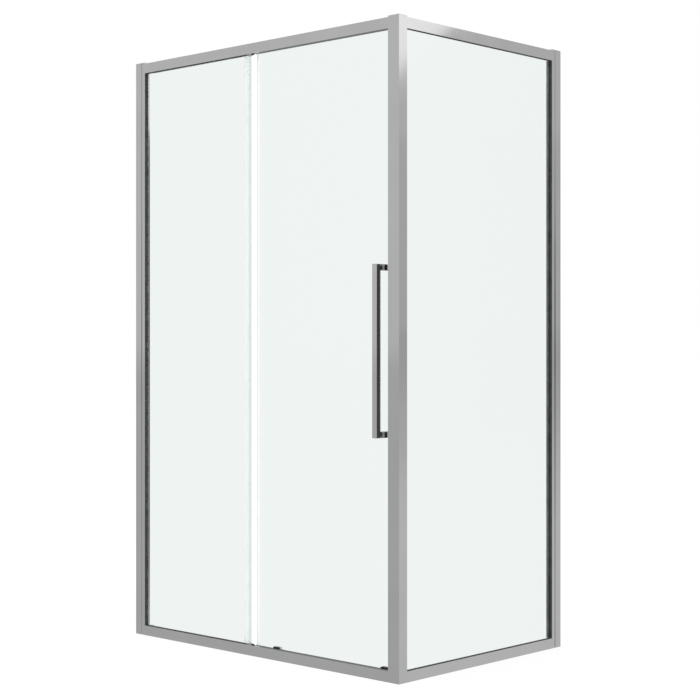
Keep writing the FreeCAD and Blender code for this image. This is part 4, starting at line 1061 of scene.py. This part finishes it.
def studio_reflections(tree):
    """What glossy rays meet: a soft grey room with a bright overhead panel to the right and behind."""
    direction = tree.nodes.new("ShaderNodeTexCoord").outputs["Generated"]

    def toward(way, fade):
        return ramp(tree, vector_node(tree, "DOT_PRODUCT", direction, way), fade)

    height = vector_node(tree, "DOT_PRODUCT", direction, UP)
    level = ramp(tree, height, *BACK_RIGHT_HORIZON)
    for span, brightness in BACK_RIGHT_STEPS:
        level = math_node(tree, "MAXIMUM", level, ramp(tree, height, span, (0.0, brightness)))
    front_left = ramp(tree, height, *FRONT_LEFT_HORIZON)
    level = mix_value(tree, toward(FRONT_LEFT, FRONT_LEFT_FADE), level, front_left)
    for way, fade, brightness in CARDS:
        level = mix_value(tree, toward(way, fade), level, brightness)
    shown = toward(PANEL_SIDE, PANEL_SIDE_FADE)
    for edge in PANEL_EDGES:
        shown = math_node(tree, "MULTIPLY", shown, toward(edge, PANEL_EDGE_FADE))
    return mix_value(tree, shown, level, PANEL_BRIGHTNESS)


def build_world(ambient):
    """White to the camera and through glass, soft grey to reflections, even light elsewhere."""
    world = bpy.data.worlds.new("plain_studio")
    world.use_nodes = True
    world.cycles.sampling_method = "NONE"
    tree = world.node_tree
    background = tree.nodes["Background"]
    path = tree.nodes.new("ShaderNodeLightPath")
    reflected = math_node(tree, "GREATER_THAN", path.outputs["Glossy Depth"], 0.5)
    scattered = math_node(tree, "GREATER_THAN", path.outputs["Diffuse Depth"], 0.5)
    strength = mix_value(tree, scattered, 1.0, ambient)
    strength = mix_value(tree, reflected, strength, studio_reflections(tree))
    background.inputs["Color"].default_value = (1, 1, 1, 1)
    tree.links.new(strength, background.inputs["Strength"])
    bpy.context.scene.world = world


def floor_material():
    material, shader = surface("studio_floor")
    tree = material.node_tree
    clouds = noise(tree, object_position(tree), scale=0.7, detail=2.0)
    tone = ramp(tree, clouds, (0.3, 0.7), (0.17, 0.19))
    combined = tree.nodes.new("ShaderNodeCombineColor")
    for channel in combined.inputs:
        tree.links.new(tone, channel)
    tree.links.new(combined.outputs[0], shader.inputs["Base Color"])
    for title, value in (("Specular IOR Level", 0.0), ("Roughness", 0.9),
                         ("Emission Color", (1, 1, 1, 1)), ("Emission Strength", 0.86)):
        shader.inputs[title].default_value = value
    return material


def build_floor():
    """A plain white floor that fades into the studio, with a faint contact shadow."""
    mesh = bmesh.new()
    bmesh.ops.create_grid(mesh, x_segments=FLOOR_CELLS, y_segments=FLOOR_CELLS, size=FLOOR_REACH)
    data = bpy.data.meshes.new("studio_floor")
    mesh.to_mesh(data)
    mesh.free()
    floor = bpy.data.objects.new("studio_floor", data)
    floor.location.z = -FLOOR_DROP
    floor.visible_glossy = False
    floor.visible_transmission = False
    bpy.context.scene.collection.objects.link(floor)
    data.materials.append(floor_material())


def add_soft_light(name, place, size, power):
    data = bpy.data.lights.new(name, "AREA")
    data.shape = "RECTANGLE"
    data.size = data.size_y = size
    data.energy = power
    light = bpy.data.objects.new(name, data)
    light.location = place
    light.rotation_euler = (Vector(LIGHT_TARGET) - Vector(place)).to_track_quat("-Z", "Y").to_euler()
    light.visible_camera = False
    light.visible_glossy = False
    light.visible_transmission = False
    bpy.context.scene.collection.objects.link(light)


def add_camera(lens):
    data = bpy.data.cameras.new("photo_camera")
    data.lens = lens
    data.sensor_width = SENSOR_WIDTH
    data.shift_y = CAMERA_SHIFT
    data.dof.use_dof = False
    data.clip_end = CAMERA_REACH
    camera = bpy.data.objects.new("photo_camera", data)
    camera.location = CAMERA_PLACE
    camera.rotation_euler = (math.pi / 2, 0, math.radians(CAMERA_TURN))
    bpy.context.scene.collection.objects.link(camera)
    bpy.context.scene.camera = camera


class ENCLOSURE_OT_studio(bpy.types.Operator):
    """Set the surroundings, floor, soft lights and camera"""

    bl_idname = "enclosure.studio"
    bl_label = "Studio"
    bl_options = {"REGISTER", "UNDO"}

    def execute(self, context):
        studio = settings().studio
        build_world(studio.ambient)
        build_floor()
        for name, place, size, share in SOFT_LIGHTS:
            add_soft_light(name, place, size, studio.soft_light * share)
        add_camera(studio.lens)
        context.scene.view_settings.view_transform = "Standard"
        context.scene.view_settings.look = "None"
        return {"FINISHED"}


OPERATORS = (
    ENCLOSURE_OT_profiles, ENCLOSURE_OT_caps, ENCLOSURE_OT_gaskets, ENCLOSURE_OT_panes, ENCLOSURE_OT_seals,
    ENCLOSURE_OT_clips, ENCLOSURE_OT_handles, ENCLOSURE_OT_rollers, ENCLOSURE_OT_guides,
    ENCLOSURE_OT_fasteners, ENCLOSURE_OT_studio,
)


class ENCLOSURE_PT_sidebar(bpy.types.Panel):
    """Sizes, colours and steps of the enclosure"""

    bl_label = "Corner shower enclosure"
    bl_idname = "ENCLOSURE_PT_sidebar"
    bl_space_type = "VIEW_3D"
    bl_region_type = "UI"
    bl_category = "Enclosure"

    def draw(self, context):
        values = context.scene.enclosure
        for part in (values.metal, values.glass, values.trim, values.studio):
            box = self.layout.box()
            for title in part.__annotations__:
                box.prop(part, title)
        for operator in OPERATORS:
            self.layout.operator(operator.bl_idname)


CLASSES = (
    MetalFinish, GlassFinish, TrimSizes, StudioSettings, EnclosureSettings, *OPERATORS, ENCLOSURE_PT_sidebar,
)


def register():
    for cls in CLASSES:
        bpy.utils.register_class(cls)
    bpy.types.Scene.enclosure = bpy.props.PointerProperty(type=EnclosureSettings)


def unregister():
    del bpy.types.Scene.enclosure
    for cls in reversed(CLASSES):
        bpy.utils.unregister_class(cls)


def main():
    register()
    bpy.ops.enclosure.profiles()
    bpy.ops.enclosure.caps()
    bpy.ops.enclosure.gaskets()
    bpy.ops.enclosure.panes()
    bpy.ops.enclosure.seals()
    bpy.ops.enclosure.clips()
    bpy.ops.enclosure.handles()
    bpy.ops.enclosure.rollers()
    bpy.ops.enclosure.guides()
    bpy.ops.enclosure.fasteners()
    bpy.ops.enclosure.studio()


if __name__ == "__main__":
    main()
